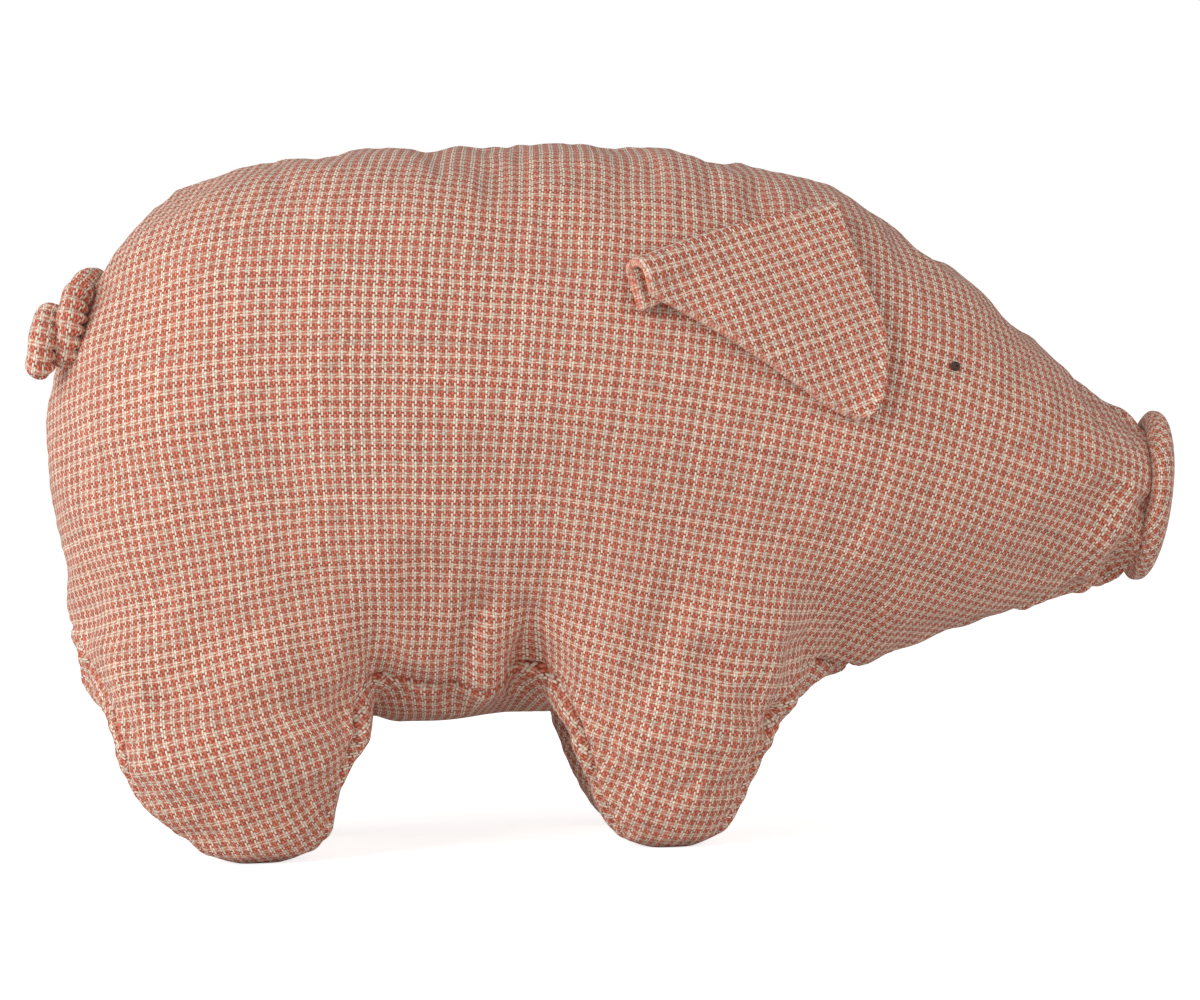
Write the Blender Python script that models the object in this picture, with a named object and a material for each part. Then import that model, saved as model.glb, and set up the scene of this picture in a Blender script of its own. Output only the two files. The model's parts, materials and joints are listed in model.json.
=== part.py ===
"""Plush pig, nose towards +X: a sewn cloth cover of two side panels and a belly gusset round
its filling, with folded ears, a padded snout disc, thread-knot eyes and a curled cloth tail."""

import math

import bmesh
import bpy
import numpy as np
from mathutils import Matrix, Vector
from mathutils.bvhtree import BVHTree

# Cloth and the gaps between pieces
CLOTH = 0.0010
FIT_GAP = 0.0003
SEAM_GAP = 0.0003

# Body, from the rump to the head's front end
BODY_LENGTH = 0.288
BODY_HEIGHT = 0.1853
BODY_WIDTH = 0.110

# Stations along the body: place, top, bottom, half width, gusset seam, section power, flare.
# The seam is a share of the station's own half width, the power shapes its section, and the
# flare moves its lower points along the body, away from the leg that grows there.
STATION_SHARES = (
    (0.062, 0.847, 0.227, 0.67, 0.55, 2.10, -0.026),
    (0.156, 0.970, 0.212, 0.91, 0.58, 2.25, 0.0),
    (0.250, 0.994, 0.205, 0.99, 0.56, 2.35, 0.024),
    (0.326, 1.000, 0.199, 1.00, 0.53, 2.35, 0.0),
    (0.396, 0.994, 0.205, 0.99, 0.52, 2.35, 0.0),
    (0.461, 0.996, 0.204, 0.97, 0.54, 2.35, -0.026),
    (0.557, 0.981, 0.203, 0.95, 0.56, 2.30, 0.0),
    (0.652, 0.951, 0.208, 0.91, 0.50, 2.25, 0.022),
    (0.722, 0.914, 0.238, 0.86, 0.24, 2.20, 0.0),
    (0.799, 0.839, 0.276, 0.78, 0.40, 2.10, 0.0),
    (0.880, 0.727, 0.307, 0.655, 0.50, 2.00, 0.0),
    (0.944, 0.630, 0.333, 0.51, 0.55, 2.00, 0.0),
    (0.988, 0.569, 0.357, 0.36, 0.60, 2.00, 0.0),
)
PLACE, TOP, BOTTOM, HALF_WIDTH, SEAM, POWER, FLARE = range(7)
UPPER_TURN_SHARES = (0.0, 0.155, 0.311, 0.478, 0.678)
FLARE_SHARES = (0.0, 0.0, 0.0, 0.0, 0.4, 1.0, 1.0, 0.5)
SEAM_POINT, BELLY_POINT = 5, 7

# Middle line of the rump below the back seam: place along the body, height
RUMP_SHARES = (
    (0.033, 0.793),
    (0.010, 0.707),
    (0.000, 0.594),
    (0.005, 0.464),
    (0.017, 0.335),
    (0.040, 0.264),
)
MUZZLE_TILT = math.radians(8.6)
MUZZLE_BULGE = 0.0020

# Legs: height, length, width and forward lean at four levels, the topmost first
LEG_HEIGHT_SHARE = 0.1943
LEG_HEIGHT = LEG_HEIGHT_SHARE * BODY_HEIGHT
LEG_SPREAD = 0.062
LEG_POWER = 2.4
SOLE_CUT = 0.0005
HIND_LEG_LENGTH = 0.064
HIND_LEG_WIDTH = 0.040
HIND_LEG_SHARES = (
    (0.94, 1.00, 1.00, 0.00),
    (0.50, 0.83, 0.92, 0.02),
    (0.15, 0.57, 0.66, 0.08),
    (0.01, 0.24, 0.28, 0.08),
)
FRONT_LEG_LENGTH = 0.056
FRONT_LEG_WIDTH = 0.038
FRONT_LEG_SHARES = (
    (0.94, 1.00, 1.00, 0.00),
    (0.50, 0.77, 0.92, 0.01),
    (0.15, 0.56, 0.66, 0.00),
    (0.01, 0.25, 0.28, 0.00),
)
HIND_STATION, FRONT_STATION = 0, 5
CORNERS = 8

# Smoothing of the cover
SMOOTH_LEVELS = 1
SETTLING_ROUNDS = 20

# Filling: where legs and head are parted from the body
HIP_SHARE = 0.917
NECK_SHARE = 0.70
NECK_LEAN = math.radians(14)

# Snout disc
SNOUT_RADIUS = 0.0222
SNOUT_FRONT_RISE = 0.0050
SNOUT_BACK_RISE = 0.0022
SNOUT_POWER = 2.6
SNOUT_SIDES = 32
SNOUT_STEPS = 6

# Eyes, each a knot of thread
EYE_PLACE_SHARE = 0.805
EYE_HEIGHT_SHARE = 0.659
EYE_RADIUS = 0.0016
EYE_RISE = 0.0014
EYE_POWER = 2.0
EYE_SIDES = 12
EYE_STEPS = 4

# Ears: the crease's two ends and the tip, by place along the body and turn from the top
EAR_REAR_SHARE, EAR_REAR_TURN = 0.520, math.radians(46)
EAR_FRONT_SHARE, EAR_FRONT_TURN = 0.711, math.radians(28)
EAR_TIP_SHARE, EAR_TIP_TURN = 0.726, math.radians(86)
EAR_REAR_STAND = 0.0072
EAR_FRONT_STAND = 0.0075
EAR_TIP_STAND = 0.0030
EAR_REST_GAP = 0.0019
EAR_BASE_DEPTH = 0.0062
EAR_BASE_START_SHARE, EAR_BASE_END_SHARE = 0.12, 0.97
EAR_TAPER_SHARE = 0.82
EAR_ROW_SHARES = (0.0, 0.10, 0.22, 0.36, 0.50, 0.64, 0.78, 0.89, 0.96, 1.0)
EAR_TIP_WIDTH_SHARE = 0.05
EAR_COLUMNS = 10
CURL_RADIUS = 0.0021
CURL_STEPS = 6
BASE_STEPS = 3

# Tail: a tube that leaves the back seam and winds down in an open corkscrew
TAIL_TURN = math.radians(36)
TAIL_STATION_SHARE = 0.16
TAIL_RADIUS = 0.0033
TAIL_ROOT_RADIUS = 0.0008
TAIL_LOOP_RISE = 0.0067
TAIL_LOOP_REACH = 0.0051
TAIL_PITCH_BACK = 0.0086
TAIL_PITCH_DOWN = 0.0056
TAIL_LOOPS = 1.44
TAIL_BACK = 0.0066
TAIL_ASIDE = 0.0138
TAIL_DROP = 0.0084
TAIL_PULL = 0.0130
TAIL_ROOT_GAP = 0.0009
TAIL_REST_GAP = 0.0005
TAIL_POINTS = 64
LOOP_POINTS = 384
TAIL_BEVEL_STEPS = 2
TAIL_ROOT_SHARE = 0.20
TAIL_END_SHARES = (0.94, 0.78, 0.45)

# Reach of the lines that look for the cover's surface, distance at which points are one
REACH = 0.5
WELD = 0.000003
PER_METRE = 1000

GINGHAM = (0.60, 0.30, 0.24)
DARK_THREAD = (0.045, 0.018, 0.012)
FILLING = (0.85, 0.84, 0.80)


def clear_scene():
    for item in list(bpy.data.objects):
        bpy.data.objects.remove(item, do_unlink=True)


def material(name, colour, roughness):
    """A Principled material of one colour."""
    made = bpy.data.materials.new(name)
    made.use_nodes = True
    shader = made.node_tree.nodes["Principled BSDF"]
    shader.inputs["Base Color"].default_value = (*colour, 1.0)
    shader.inputs["Roughness"].default_value = roughness
    shader.inputs["Metallic"].default_value = 0.0
    return made


def new_object(name, mesh, look):
    """Links a mesh as a named, smoothly shaded object with its own material."""
    mesh.shade_smooth()
    mesh.materials.clear()
    mesh.materials.append(material(name, *look))
    made = bpy.data.objects.new(name, mesh)
    bpy.context.collection.objects.link(made)
    return made


def mesh_of(name, points, faces):
    mesh = bpy.data.meshes.new(name)
    mesh.from_pydata([tuple(point) for point in points], [], faces)
    return mesh


def close_outward(bm):
    bmesh.ops.recalc_face_normals(bm, faces=bm.faces)


# Cover: control net

def section_point(station, turn):
    """Point (y, z) of a station's rounded section, at a turn from its top; y is positive."""
    half_width, centre, half_height = section_size(station)
    power = 2 / station[POWER]
    across = half_width * abs(math.sin(turn)) ** power
    upward = half_height * math.copysign(abs(math.cos(turn)) ** power, math.cos(turn))
    return across, centre + upward


def section_size(station):
    """Half width, centre height and half height of a station's section."""
    half_width = station[HALF_WIDTH] * BODY_WIDTH / 2
    centre = (station[TOP] + station[BOTTOM]) / 2 * BODY_HEIGHT
    half_height = (station[TOP] - station[BOTTOM]) / 2 * BODY_HEIGHT
    return half_width, centre, half_height


def under_point(station, across):
    """Point (y, z) on the lower half of a station's section, at a distance from the middle."""
    half_width, centre, half_height = section_size(station)
    drop = (1 - (across / half_width) ** station[POWER]) ** (1 / station[POWER])
    return across, centre - half_height * drop


def ring_points(station):
    """The section's points from the back seam, over the gusset seam, to the belly's middle."""
    turns = [share * math.pi for share in UPPER_TURN_SHARES]
    seam = station[SEAM] * station[HALF_WIDTH] * BODY_WIDTH / 2
    points = [section_point(station, turn) for turn in turns]
    return points + [under_point(station, across) for across in (seam, seam / 2, 0.0)]


def place_on(share):
    """x of a share of the body's length, the body centred on x = 0."""
    return (share - 0.5) * BODY_LENGTH


class Net:
    """The closed cover's control net: named points and faces marked with their cloth piece."""

    def __init__(self):
        self.points = []
        self.rank = {}
        self.faces = []
        self.cloths = []

    def point(self, key, place):
        if key not in self.rank:
            self.rank[key] = len(self.points)
            self.points.append(place)

    def face(self, keys, cloth):
        self.faces.append([self.rank[key] for key in keys])
        self.cloths.append(cloth)


RIGHT, LEFT, GUSSET = range(3)


def ring_key(i, j, side):
    return ("ring", i, j, 0 if j in (0, BELLY_POINT) else side)


def add_rings(net, side):
    """The trunk's and head's rings, without the patches that the legs grow from."""
    last = len(STATION_SHARES) - 1
    for i, station in enumerate(STATION_SHARES):
        for j, (across, height) in enumerate(ring_points(station)):
            lean = station[FLARE] * FLARE_SHARES[j] * BODY_LENGTH
            if i == last:
                lean = math.tan(MUZZLE_TILT) * (height - section_size(station)[1])
            hidden = j == SEAM_POINT and i in (HIND_STATION + 1, FRONT_STATION + 1)
            if not hidden:
                place = (place_on(station[PLACE]) + lean, side * across, height)
                net.point(ring_key(i, j, side), place)
    panel = RIGHT if side < 0 else LEFT
    for i in range(last):
        under_leg = HIND_STATION <= i < HIND_STATION + 2 or FRONT_STATION <= i < FRONT_STATION + 2
        for j in range(BELLY_POINT):
            if under_leg and j in (SEAM_POINT - 1, SEAM_POINT):
                continue
            belongs = GUSSET if j >= SEAM_POINT and i <= FRONT_STATION + 2 else panel
            corners = ((i, j), (i + 1, j), (i + 1, j + 1), (i, j + 1))
            net.face([ring_key(a, b, side) for a, b in corners], belongs)


def add_end(net, side, i, name, places):
    """Closes the ring i by rows from its points to a middle line, at the rump or the muzzle."""
    panel = RIGHT if side < 0 else LEFT
    for j, (x, z) in enumerate(places, start=1):
        net.point((name, j), (x, 0.0, z))
    rows = len(places)
    net.face([ring_key(i, 0, side), ring_key(i, 1, side), (name, 1)], panel)
    for j in range(1, rows):
        belongs = GUSSET if name == "rump" and j >= SEAM_POINT else panel
        keys = [ring_key(i, j, side), ring_key(i, j + 1, side), (name, j + 1), (name, j)]
        net.face(keys, belongs)
    belongs = GUSSET if name == "rump" else panel
    net.face([ring_key(i, rows, side), ring_key(i, rows + 1, side), (name, rows)], belongs)


def rump_line():
    return [(place_on(place), height * BODY_HEIGHT) for place, height in RUMP_SHARES]


def muzzle_line():
    """The muzzle's middle line, on the tilted front ring and bulging a little past it."""
    station = STATION_SHARES[-1]
    _, centre, half_height = section_size(station)
    line = []
    for _, height in ring_points(station)[1:BELLY_POINT]:
        away = (height - centre) / half_height
        bulge = MUZZLE_BULGE * (1 - away * away)
        x = place_on(station[PLACE]) + math.tan(MUZZLE_TILT) * (height - centre) + bulge
        line.append((x, height))
    return line


def rounded(share):
    """Widens a leg's oval towards its corners."""
    return math.copysign(abs(share) ** (2 / LEG_POWER), share)


def leg_root(i, side):
    """The eight points of the trunk round a leg, from the rear outer corner over the seam."""
    order = ((0, 4), (0, 5), (0, 6), (1, 6), (2, 6), (2, 5), (2, 4), (1, 4))
    return [ring_key(i + along, j, side) for along, j in order]


def add_leg(net, side, i, length, width, shares, name):
    """A leg: oval levels under the trunk and a sole, the seam down its front and back."""
    panel = RIGHT if side < 0 else LEFT
    middle = place_on(STATION_SHARES[i + 1][PLACE])
    above = leg_root(i, side)
    for level, (height, long, wide, lean) in enumerate(shares):
        ring = []
        for k in range(CORNERS):
            turn = math.pi * (k - 1) / (CORNERS // 2)
            x = middle + lean * length - long * length / 2 * rounded(math.cos(turn))
            y = LEG_SPREAD / 2 - wide * width / 2 * rounded(math.sin(turn))
            key = (name, level, k, side)
            net.point(key, (x, side * y, height * LEG_HEIGHT))
            ring.append(key)
        for k in range(CORNERS):
            belongs = GUSSET if 1 <= k <= CORNERS // 2 else panel
            after = (k + 1) % CORNERS
            net.face([above[k], above[after], ring[after], ring[k]], belongs)
        above = ring
    sole = (name, "sole", side)
    net.point(sole, (middle + shares[-1][3] * length, side * LEG_SPREAD / 2, -SOLE_CUT))
    for k in range(0, CORNERS, 2):
        belongs = GUSSET if 1 <= k <= CORNERS // 2 else panel
        net.face([above[k], above[(k + 1) % CORNERS], sole, above[k - 1]], belongs)


def cover_net():
    """The whole control net, both sides sharing the points of the middle plane."""
    net = Net()
    last = len(STATION_SHARES) - 1
    for side in (-1, 1):
        add_rings(net, side)
        add_end(net, side, 0, "rump", rump_line())
        add_end(net, side, last, "muzzle", muzzle_line())
        add_leg(net, side, HIND_STATION, HIND_LEG_LENGTH, HIND_LEG_WIDTH, HIND_LEG_SHARES, "hind")
        add_leg(
            net, side, FRONT_STATION, FRONT_LEG_LENGTH, FRONT_LEG_WIDTH, FRONT_LEG_SHARES, "front"
        )
    return net


# Cover: smooth surface

class Skin:
    """The cover's smooth outer surface as points, normals, faces and their cloth pieces."""

    def __init__(self, mesh):
        self.points = np.array([vertex.co[:] for vertex in mesh.vertices])
        self.normals = np.array([vertex.normal[:] for vertex in mesh.vertices])
        self.faces = [tuple(face.vertices) for face in mesh.polygons]
        self.cloths = [face.material_index for face in mesh.polygons]
        self.tree = BVHTree.FromPolygons(self.points.tolist(), self.faces)

    def distance(self, place):
        """How far outside the surface a place is."""
        nearest, normal, _, _ = self.tree.find_nearest(place)
        away = Vector(place) - nearest
        if normal.dot(nearest - Vector((nearest.x, 0.0, BODY_HEIGHT / 2))) < 0:
            normal = -normal
        return math.copysign(away.length, away.dot(normal))

    def hit(self, start, direction):
        """Where a line first meets the surface, and the outward normal there."""
        place, normal, _, _ = self.tree.ray_cast(start, direction.normalized(), REACH)
        if place is None:
            return None, None
        if normal.dot(place - Vector((place.x, 0.0, BODY_HEIGHT / 2))) < 0:
            normal = -normal
        return place, normal


def smooth_skin(net):
    """Subdivides the net once its control points make the surface pass through the net's points."""
    mesh = mesh_of("cover", net.points, net.faces)
    for _ in (RIGHT, LEFT, GUSSET):
        mesh.materials.append(None)
    mesh.polygons.foreach_set("material_index", net.cloths)
    bm = bmesh.new()
    bm.from_mesh(mesh)
    close_outward(bm)
    bm.to_mesh(mesh)
    bm.free()
    holder = bpy.data.objects.new("cover", mesh)
    bpy.context.collection.objects.link(holder)
    smoothing = holder.modifiers.new("smoothing", "SUBSURF")
    smoothing.levels = smoothing.render_levels = SMOOTH_LEVELS
    wanted = np.array(net.points)
    control = wanted.copy()
    for _ in range(SETTLING_ROUNDS):
        mesh.vertices.foreach_set("co", control.ravel())
        mesh.update()
        smooth = evaluated_mesh(holder)
        reached = np.array([vertex.co[:] for vertex in smooth.vertices[: len(wanted)]])
        control = control + wanted - reached
        bpy.data.meshes.remove(smooth)
    mesh.vertices.foreach_set("co", control.ravel())
    mesh.update()
    smooth = evaluated_mesh(holder)
    bpy.data.objects.remove(holder, do_unlink=True)
    bm = bmesh.new()
    bm.from_mesh(smooth)
    bmesh.ops.triangulate(bm, faces=bm.faces, quad_method="SHORT_EDGE")
    bm.to_mesh(smooth)
    bm.free()
    return Skin(smooth)


def evaluated_mesh(item):
    bpy.context.view_layer.update()
    graph = bpy.context.evaluated_depsgraph_get()
    return bpy.data.meshes.new_from_object(item.evaluated_get(graph))


# Cutting flat

def slice_off(bm, place, direction):
    """Cuts away what lies beyond a plane, on the side that the direction points to."""
    everything = bm.verts[:] + bm.edges[:] + bm.faces[:]
    bmesh.ops.bisect_plane(
        bm, geom=everything, plane_co=place, plane_no=direction, clear_outer=True
    )
    open_edges = [edge for edge in bm.edges if edge.is_boundary]
    if open_edges:
        bmesh.ops.holes_fill(bm, edges=open_edges, sides=0)
    close_outward(bm)


def drop_beyond(bm, place, direction):
    """Removes the separate islands whose points lie beyond a plane."""
    beyond = [vertex for vertex in bm.verts if (vertex.co - place).dot(direction) > 0]
    bmesh.ops.delete(bm, geom=beyond, context="VERTS")


# Cloth pieces of the cover

def rim_steps(skin, faces, rim):
    """For each rim point, half the seam gap along the surface, square to the seam, inward."""
    centres = {}
    for face in faces:
        middle = skin.points[list(face)].mean(axis=0)
        for index in face:
            centres.setdefault(index, []).append(middle)
    neighbours = {}
    for a, b in rim:
        neighbours.setdefault(a, []).append(b)
        neighbours.setdefault(b, []).append(a)
    steps = {}
    for index, (before, after) in neighbours.items():
        inward = np.mean(centres[index], axis=0) - skin.points[index]
        along = skin.points[after] - skin.points[before]
        along /= np.linalg.norm(along)
        normal = skin.normals[index]
        inward -= normal * inward.dot(normal)
        inward -= along * inward.dot(along)
        steps[index] = inward / np.linalg.norm(inward) * SEAM_GAP / 2
    return steps


def panel_points(skin, cloth):
    """Points and faces of one cloth piece, outer and inner faces joined along its rim."""
    faces = [face for face, owner in zip(skin.faces, skin.cloths) if owner == cloth]
    edges = {(a, b) for face in faces for a, b in zip(face, face[1:] + face[:1])}
    rim = [(a, b) for a, b in edges if (b, a) not in edges]
    steps = rim_steps(skin, faces, rim)
    used = sorted({index for face in faces for index in face})
    rank = {index: k for k, index in enumerate(used)}
    outer = np.array([skin.points[index] + steps.get(index, 0.0) for index in used])
    inner = outer - CLOTH * skin.normals[used]
    count = len(used)
    shell = [[rank[index] for index in face] for face in faces]
    shell += [[rank[index] + count for index in reversed(face)] for face in faces]
    for a, b in sorted(rim):
        shell.append([rank[b], rank[a], rank[a] + count, rank[b] + count])
    return np.vstack([outer, inner]), shell


def cover_panel(skin, name, cloth):
    """A cloth piece of the cover, its soles cut flat."""
    mesh = mesh_of(name, *panel_points(skin, cloth))
    bm = bmesh.new()
    bm.from_mesh(mesh)
    slice_off(bm, Vector((0.0, 0.0, 0.0)), Vector((0.0, 0.0, -1.0)))
    bm.to_mesh(mesh)
    bm.free()
    return new_object(name, mesh, (GINGHAM, 0.9))


# Filling

def filling(skin, name, cuts, islands=()):
    """The space inside the cover, a gap away from the cloth, cut by planes to one form."""
    inside = skin.points - (CLOTH + FIT_GAP) * skin.normals
    mesh = mesh_of(name, inside, skin.faces)
    bm = bmesh.new()
    bm.from_mesh(mesh)
    for place, direction in cuts:
        slice_off(bm, place, direction)
    for place, direction in islands:
        drop_beyond(bm, place, direction)
    bm.to_mesh(mesh)
    bm.free()
    return new_object(name, mesh, (FILLING, 1.0))


def all_fillings(skin):
    """Body, head and four legs, the smaller forms cut by the larger ones."""
    down = Vector((0.0, 0.0, -1.0))
    forward = Vector((math.cos(NECK_LEAN), 0.0, math.sin(NECK_LEAN)))
    hip = Vector((0.0, 0.0, HIP_SHARE * LEG_HEIGHT))
    neck = Vector((place_on(NECK_SHARE), 0.0, BODY_HEIGHT / 2))
    filling(skin, "body_filling", [(hip, down), (neck, forward)])
    filling(skin, "head_filling", [(neck + forward * FIT_GAP, -forward)])
    middle = Vector((place_on(STATION_SHARES[HIND_STATION + 3][PLACE]), 0.0, 0.0))
    for place, along in (("hind", 1), ("front", -1)):
        for hand, side in (("right", -1), ("left", 1)):
            islands = [
                (middle, Vector((along, 0.0, 0.0))),
                (Vector(), Vector((0.0, -side, 0.0))),
            ]
            cuts = [(hip + down * FIT_GAP, -down)]
            filling(skin, f"{place}_leg_{hand}_filling", cuts, islands)


# Turned pieces

def turned(name, profile, sides, look):
    """Spins a profile of (radius, height) points round Z; it starts and ends on the axis."""
    mesh = bpy.data.meshes.new(name)
    bm = bmesh.new()
    line = [bm.verts.new((radius, 0.0, height)) for radius, height in profile]
    runs = [bm.edges.new(pair) for pair in zip(line, line[1:])]
    bmesh.ops.spin(
        bm, geom=line + runs, cent=(0.0, 0.0, 0.0), axis=(0.0, 0.0, 1.0), angle=math.tau,
        steps=sides, use_merge=True,
    )
    bmesh.ops.remove_doubles(bm, verts=bm.verts, dist=WELD)
    close_outward(bm)
    bm.to_mesh(mesh)
    bm.free()
    return new_object(name, mesh, look)


def dome(radius, rise, power, steps):
    """A quarter outline from the axis at its crown down to the rim."""
    points = []
    for k in range(steps + 1):
        turn = math.pi / 2 * k / steps
        across = radius * math.sin(turn) ** (2 / power)
        upward = rise * max(math.cos(turn), 0.0) ** (2 / power) if k < steps else 0.0
        points.append((across if k else 0.0, upward))
    return points


def snout(skin):
    """Two cloth discs meeting at the rim with wadding between, seated on the muzzle."""
    axis = Vector((math.cos(MUZZLE_TILT), 0.0, -math.sin(MUZZLE_TILT)))
    station = STATION_SHARES[-1]
    centre = Vector((place_on(station[PLACE]), 0.0, section_size(station)[1]))
    reach = max((Vector(point) - centre).dot(axis) for point in skin.points)
    seat = centre + axis * (reach + FIT_GAP + SNOUT_BACK_RISE + SEAM_GAP / 2)
    pieces = []
    for name, rise, sign in (
        ("snout_front_disc", SNOUT_FRONT_RISE, 1),
        ("snout_back_disc", SNOUT_BACK_RISE, -1),
    ):
        outer = dome(SNOUT_RADIUS, rise, SNOUT_POWER, SNOUT_STEPS)
        inner = dome(SNOUT_RADIUS - CLOTH, rise - CLOTH, SNOUT_POWER, SNOUT_STEPS)
        profile = outer + inner[::-1]
        profile = [(radius, sign * (height + SEAM_GAP / 2)) for radius, height in profile]
        pieces.append(turned(name, profile, SNOUT_SIDES, (GINGHAM, 0.9)))
    skip = CLOTH + FIT_GAP
    front = dome(SNOUT_RADIUS - skip, SNOUT_FRONT_RISE - skip, SNOUT_POWER, SNOUT_STEPS)
    back = dome(SNOUT_RADIUS - skip, SNOUT_BACK_RISE - skip, SNOUT_POWER, SNOUT_STEPS)
    profile = front + [(radius, -height) for radius, height in back[-2::-1]]
    pieces.append(turned("snout_wadding", profile, SNOUT_SIDES, (FILLING, 1.0)))
    for piece in pieces:
        piece.rotation_mode = "QUATERNION"
        piece.rotation_quaternion = axis.to_track_quat("Z", "Y")
        piece.location = seat


def eyes(skin):
    """A small domed knot of thread on each side of the head."""
    for name, side in (("eye_right", -1), ("eye_left", 1)):
        height = EYE_HEIGHT_SHARE * BODY_HEIGHT
        start = Vector((place_on(EYE_PLACE_SHARE), side * REACH / 2, height))
        place, normal = skin.hit(start, Vector((0.0, -side, 0.0)))
        profile = dome(EYE_RADIUS, EYE_RISE, EYE_POWER, EYE_STEPS) + [(0.0, 0.0)]
        eye = turned(name, profile, EYE_SIDES, (DARK_THREAD, 0.8))
        eye.rotation_mode = "QUATERNION"
        eye.rotation_quaternion = normal.to_track_quat("Z", "Y")
        eye.location = place + normal * FIT_GAP


# Ears

def cover_point(skin, share, turn, side):
    """A point of the cover and its normal, at a place along the body and a turn from the top."""
    stations = np.array(STATION_SHARES)
    top = np.interp(share, stations[:, PLACE], stations[:, TOP])
    bottom = np.interp(share, stations[:, PLACE], stations[:, BOTTOM])
    centre = Vector((place_on(share), 0.0, (top + bottom) / 2 * BODY_HEIGHT))
    return skin.hit(centre, Vector((0.0, side * math.sin(turn), math.cos(turn))))


class EarFrame:
    """An ear's own axes: along the crease, down to the tip and outward, from the crease's rear."""

    def __init__(self, skin, side):
        self.skin = skin
        places = (
            (EAR_REAR_SHARE, EAR_REAR_TURN, EAR_REAR_STAND),
            (EAR_FRONT_SHARE, EAR_FRONT_TURN, EAR_FRONT_STAND),
            (EAR_TIP_SHARE, EAR_TIP_TURN, EAR_TIP_STAND),
        )
        corners = []
        for share, turn, stand in places:
            place, normal = cover_point(skin, share, turn, side)
            corners.append(place + normal * stand)
        rear, front, tip = corners
        self.rear = rear
        self.length = (front - rear).length
        self.along = (front - rear).normalized()
        down = (tip - rear) - self.along * (tip - rear).dot(self.along)
        self.depth = down.length
        self.down = down.normalized()
        self.tip_along = (tip - rear).dot(self.along)
        self.outward = self.along.cross(self.down).normalized()
        if self.outward.y * side < 0:
            self.outward = -self.outward

    def at(self, along, down, outward):
        return self.rear + self.along * along + self.down * down + self.outward * outward

    def cover_level(self, along, down):
        """How far outward the cover lies at this place; where it lies behind, minus the reach."""
        start = self.at(along, down, REACH / 2)
        place, _ = self.skin.hit(start, -self.outward)
        if place is None:
            return -REACH
        return (place - self.rear).dot(self.outward)

    def rest_level(self, along, down):
        """The lining's inner face: level with the crease, or lying over the cover."""
        hanging = CURL_RADIUS - 2 * CLOTH - FIT_GAP
        resting = self.cover_level(along, down) + EAR_REST_GAP
        soft = EAR_REST_GAP / 2
        high, low = max(hanging, resting), min(hanging, resting)
        return high + soft * math.exp((low - high) / soft) / 2

    def base_row(self):
        """Places along the crease between the two ends of the strip under it."""
        start, end = EAR_BASE_START_SHARE * self.length, EAR_BASE_END_SHARE * self.length
        return [start + (end - start) * k / EAR_COLUMNS for k in range(EAR_COLUMNS + 1)]

    def row(self, share):
        """(along, down) places across the flap at a share of the way to its tip."""
        middle = self.length / 2 + share * (self.tip_along - self.length / 2)
        width = self.length * ((1 - share) ** EAR_TAPER_SHARE + EAR_TIP_WIDTH_SHARE * share)
        steps = [k / EAR_COLUMNS - 0.5 for k in range(EAR_COLUMNS + 1)]
        return [(middle + step * width, share * self.depth) for step in steps]


def slab(name, lower, upper):
    """A thin closed solid between two grids of points."""
    rows, columns = len(lower), len(lower[0])
    points = [point for grid in (lower, upper) for row in grid for point in row]

    def index(level, i, j):
        return level * rows * columns + i * columns + j

    faces = []
    for i in range(rows - 1):
        for j in range(columns - 1):
            square = ((i, j), (i, j + 1), (i + 1, j + 1), (i + 1, j))
            faces += [[index(level, a, b) for a, b in square] for level in (0, 1)]
    rim = [(i, 0) for i in range(rows)] + [(rows - 1, j) for j in range(1, columns)]
    rim += [(i, columns - 1) for i in range(rows - 2, -1, -1)]
    rim += [(0, j) for j in range(columns - 2, 0, -1)]
    for (a, b), (c, d) in zip(rim, rim[1:] + rim[:1]):
        faces.append([index(0, a, b), index(0, c, d), index(1, c, d), index(1, a, b)])
    mesh = mesh_of(name, points, faces)
    bm = bmesh.new()
    bm.from_mesh(mesh)
    close_outward(bm)
    bm.to_mesh(mesh)
    bm.free()
    return new_object(name, mesh, (GINGHAM, 0.9))


def ear_layers(frame, hand):
    """The flap's lining and outer layer; the outer one curls round the crease."""
    rows = [frame.row(share) for share in EAR_ROW_SHARES]
    levels = [[frame.rest_level(*place) for place in row] for row in rows]

    def sheet(offset):
        return [
            [frame.at(*place, level + offset) for place, level in zip(row, heights)]
            for row, heights in zip(rows, levels)
        ]

    def curl(radius):
        turned_rows = []
        for k in range(CURL_STEPS, 0, -1):
            turn = math.pi * k / CURL_STEPS
            down, outward = -radius * math.sin(turn), radius * math.cos(turn)
            turned_rows.append([frame.at(along, down, outward) for along, _ in rows[0]])
        return turned_rows

    lining = slab(f"ear_{hand}_lining", sheet(0.0), sheet(CLOTH))
    low, high = sheet(CLOTH + FIT_GAP), sheet(2 * CLOTH + FIT_GAP)
    inside = curl(CURL_RADIUS - CLOTH) + low
    outside = curl(CURL_RADIUS) + high
    outer = slab(f"ear_{hand}_outer", inside, outside)
    return [outer, lining]


def ear_base(frame, hand):
    """The strip folded under the crease, from the curl down to where it is sewn to the head."""
    lower, upper = [], []
    under_curl = -(CURL_RADIUS + FIT_GAP + CLOTH)
    for k in range(BASE_STEPS + 1):
        share = k / BASE_STEPS
        low_row, high_row = [], []
        for along in frame.base_row():
            down = share * EAR_BASE_DEPTH
            sewn = frame.cover_level(along, EAR_BASE_DEPTH) + FIT_GAP
            level = under_curl + share * (sewn - under_curl)
            level = max(level, frame.cover_level(along, down) + FIT_GAP)
            low_row.append(frame.at(along, down, level))
            high_row.append(frame.at(along, down, level + CLOTH))
        lower.append(low_row)
        upper.append(high_row)
    return slab(f"ear_{hand}_base", lower, upper)


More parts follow.
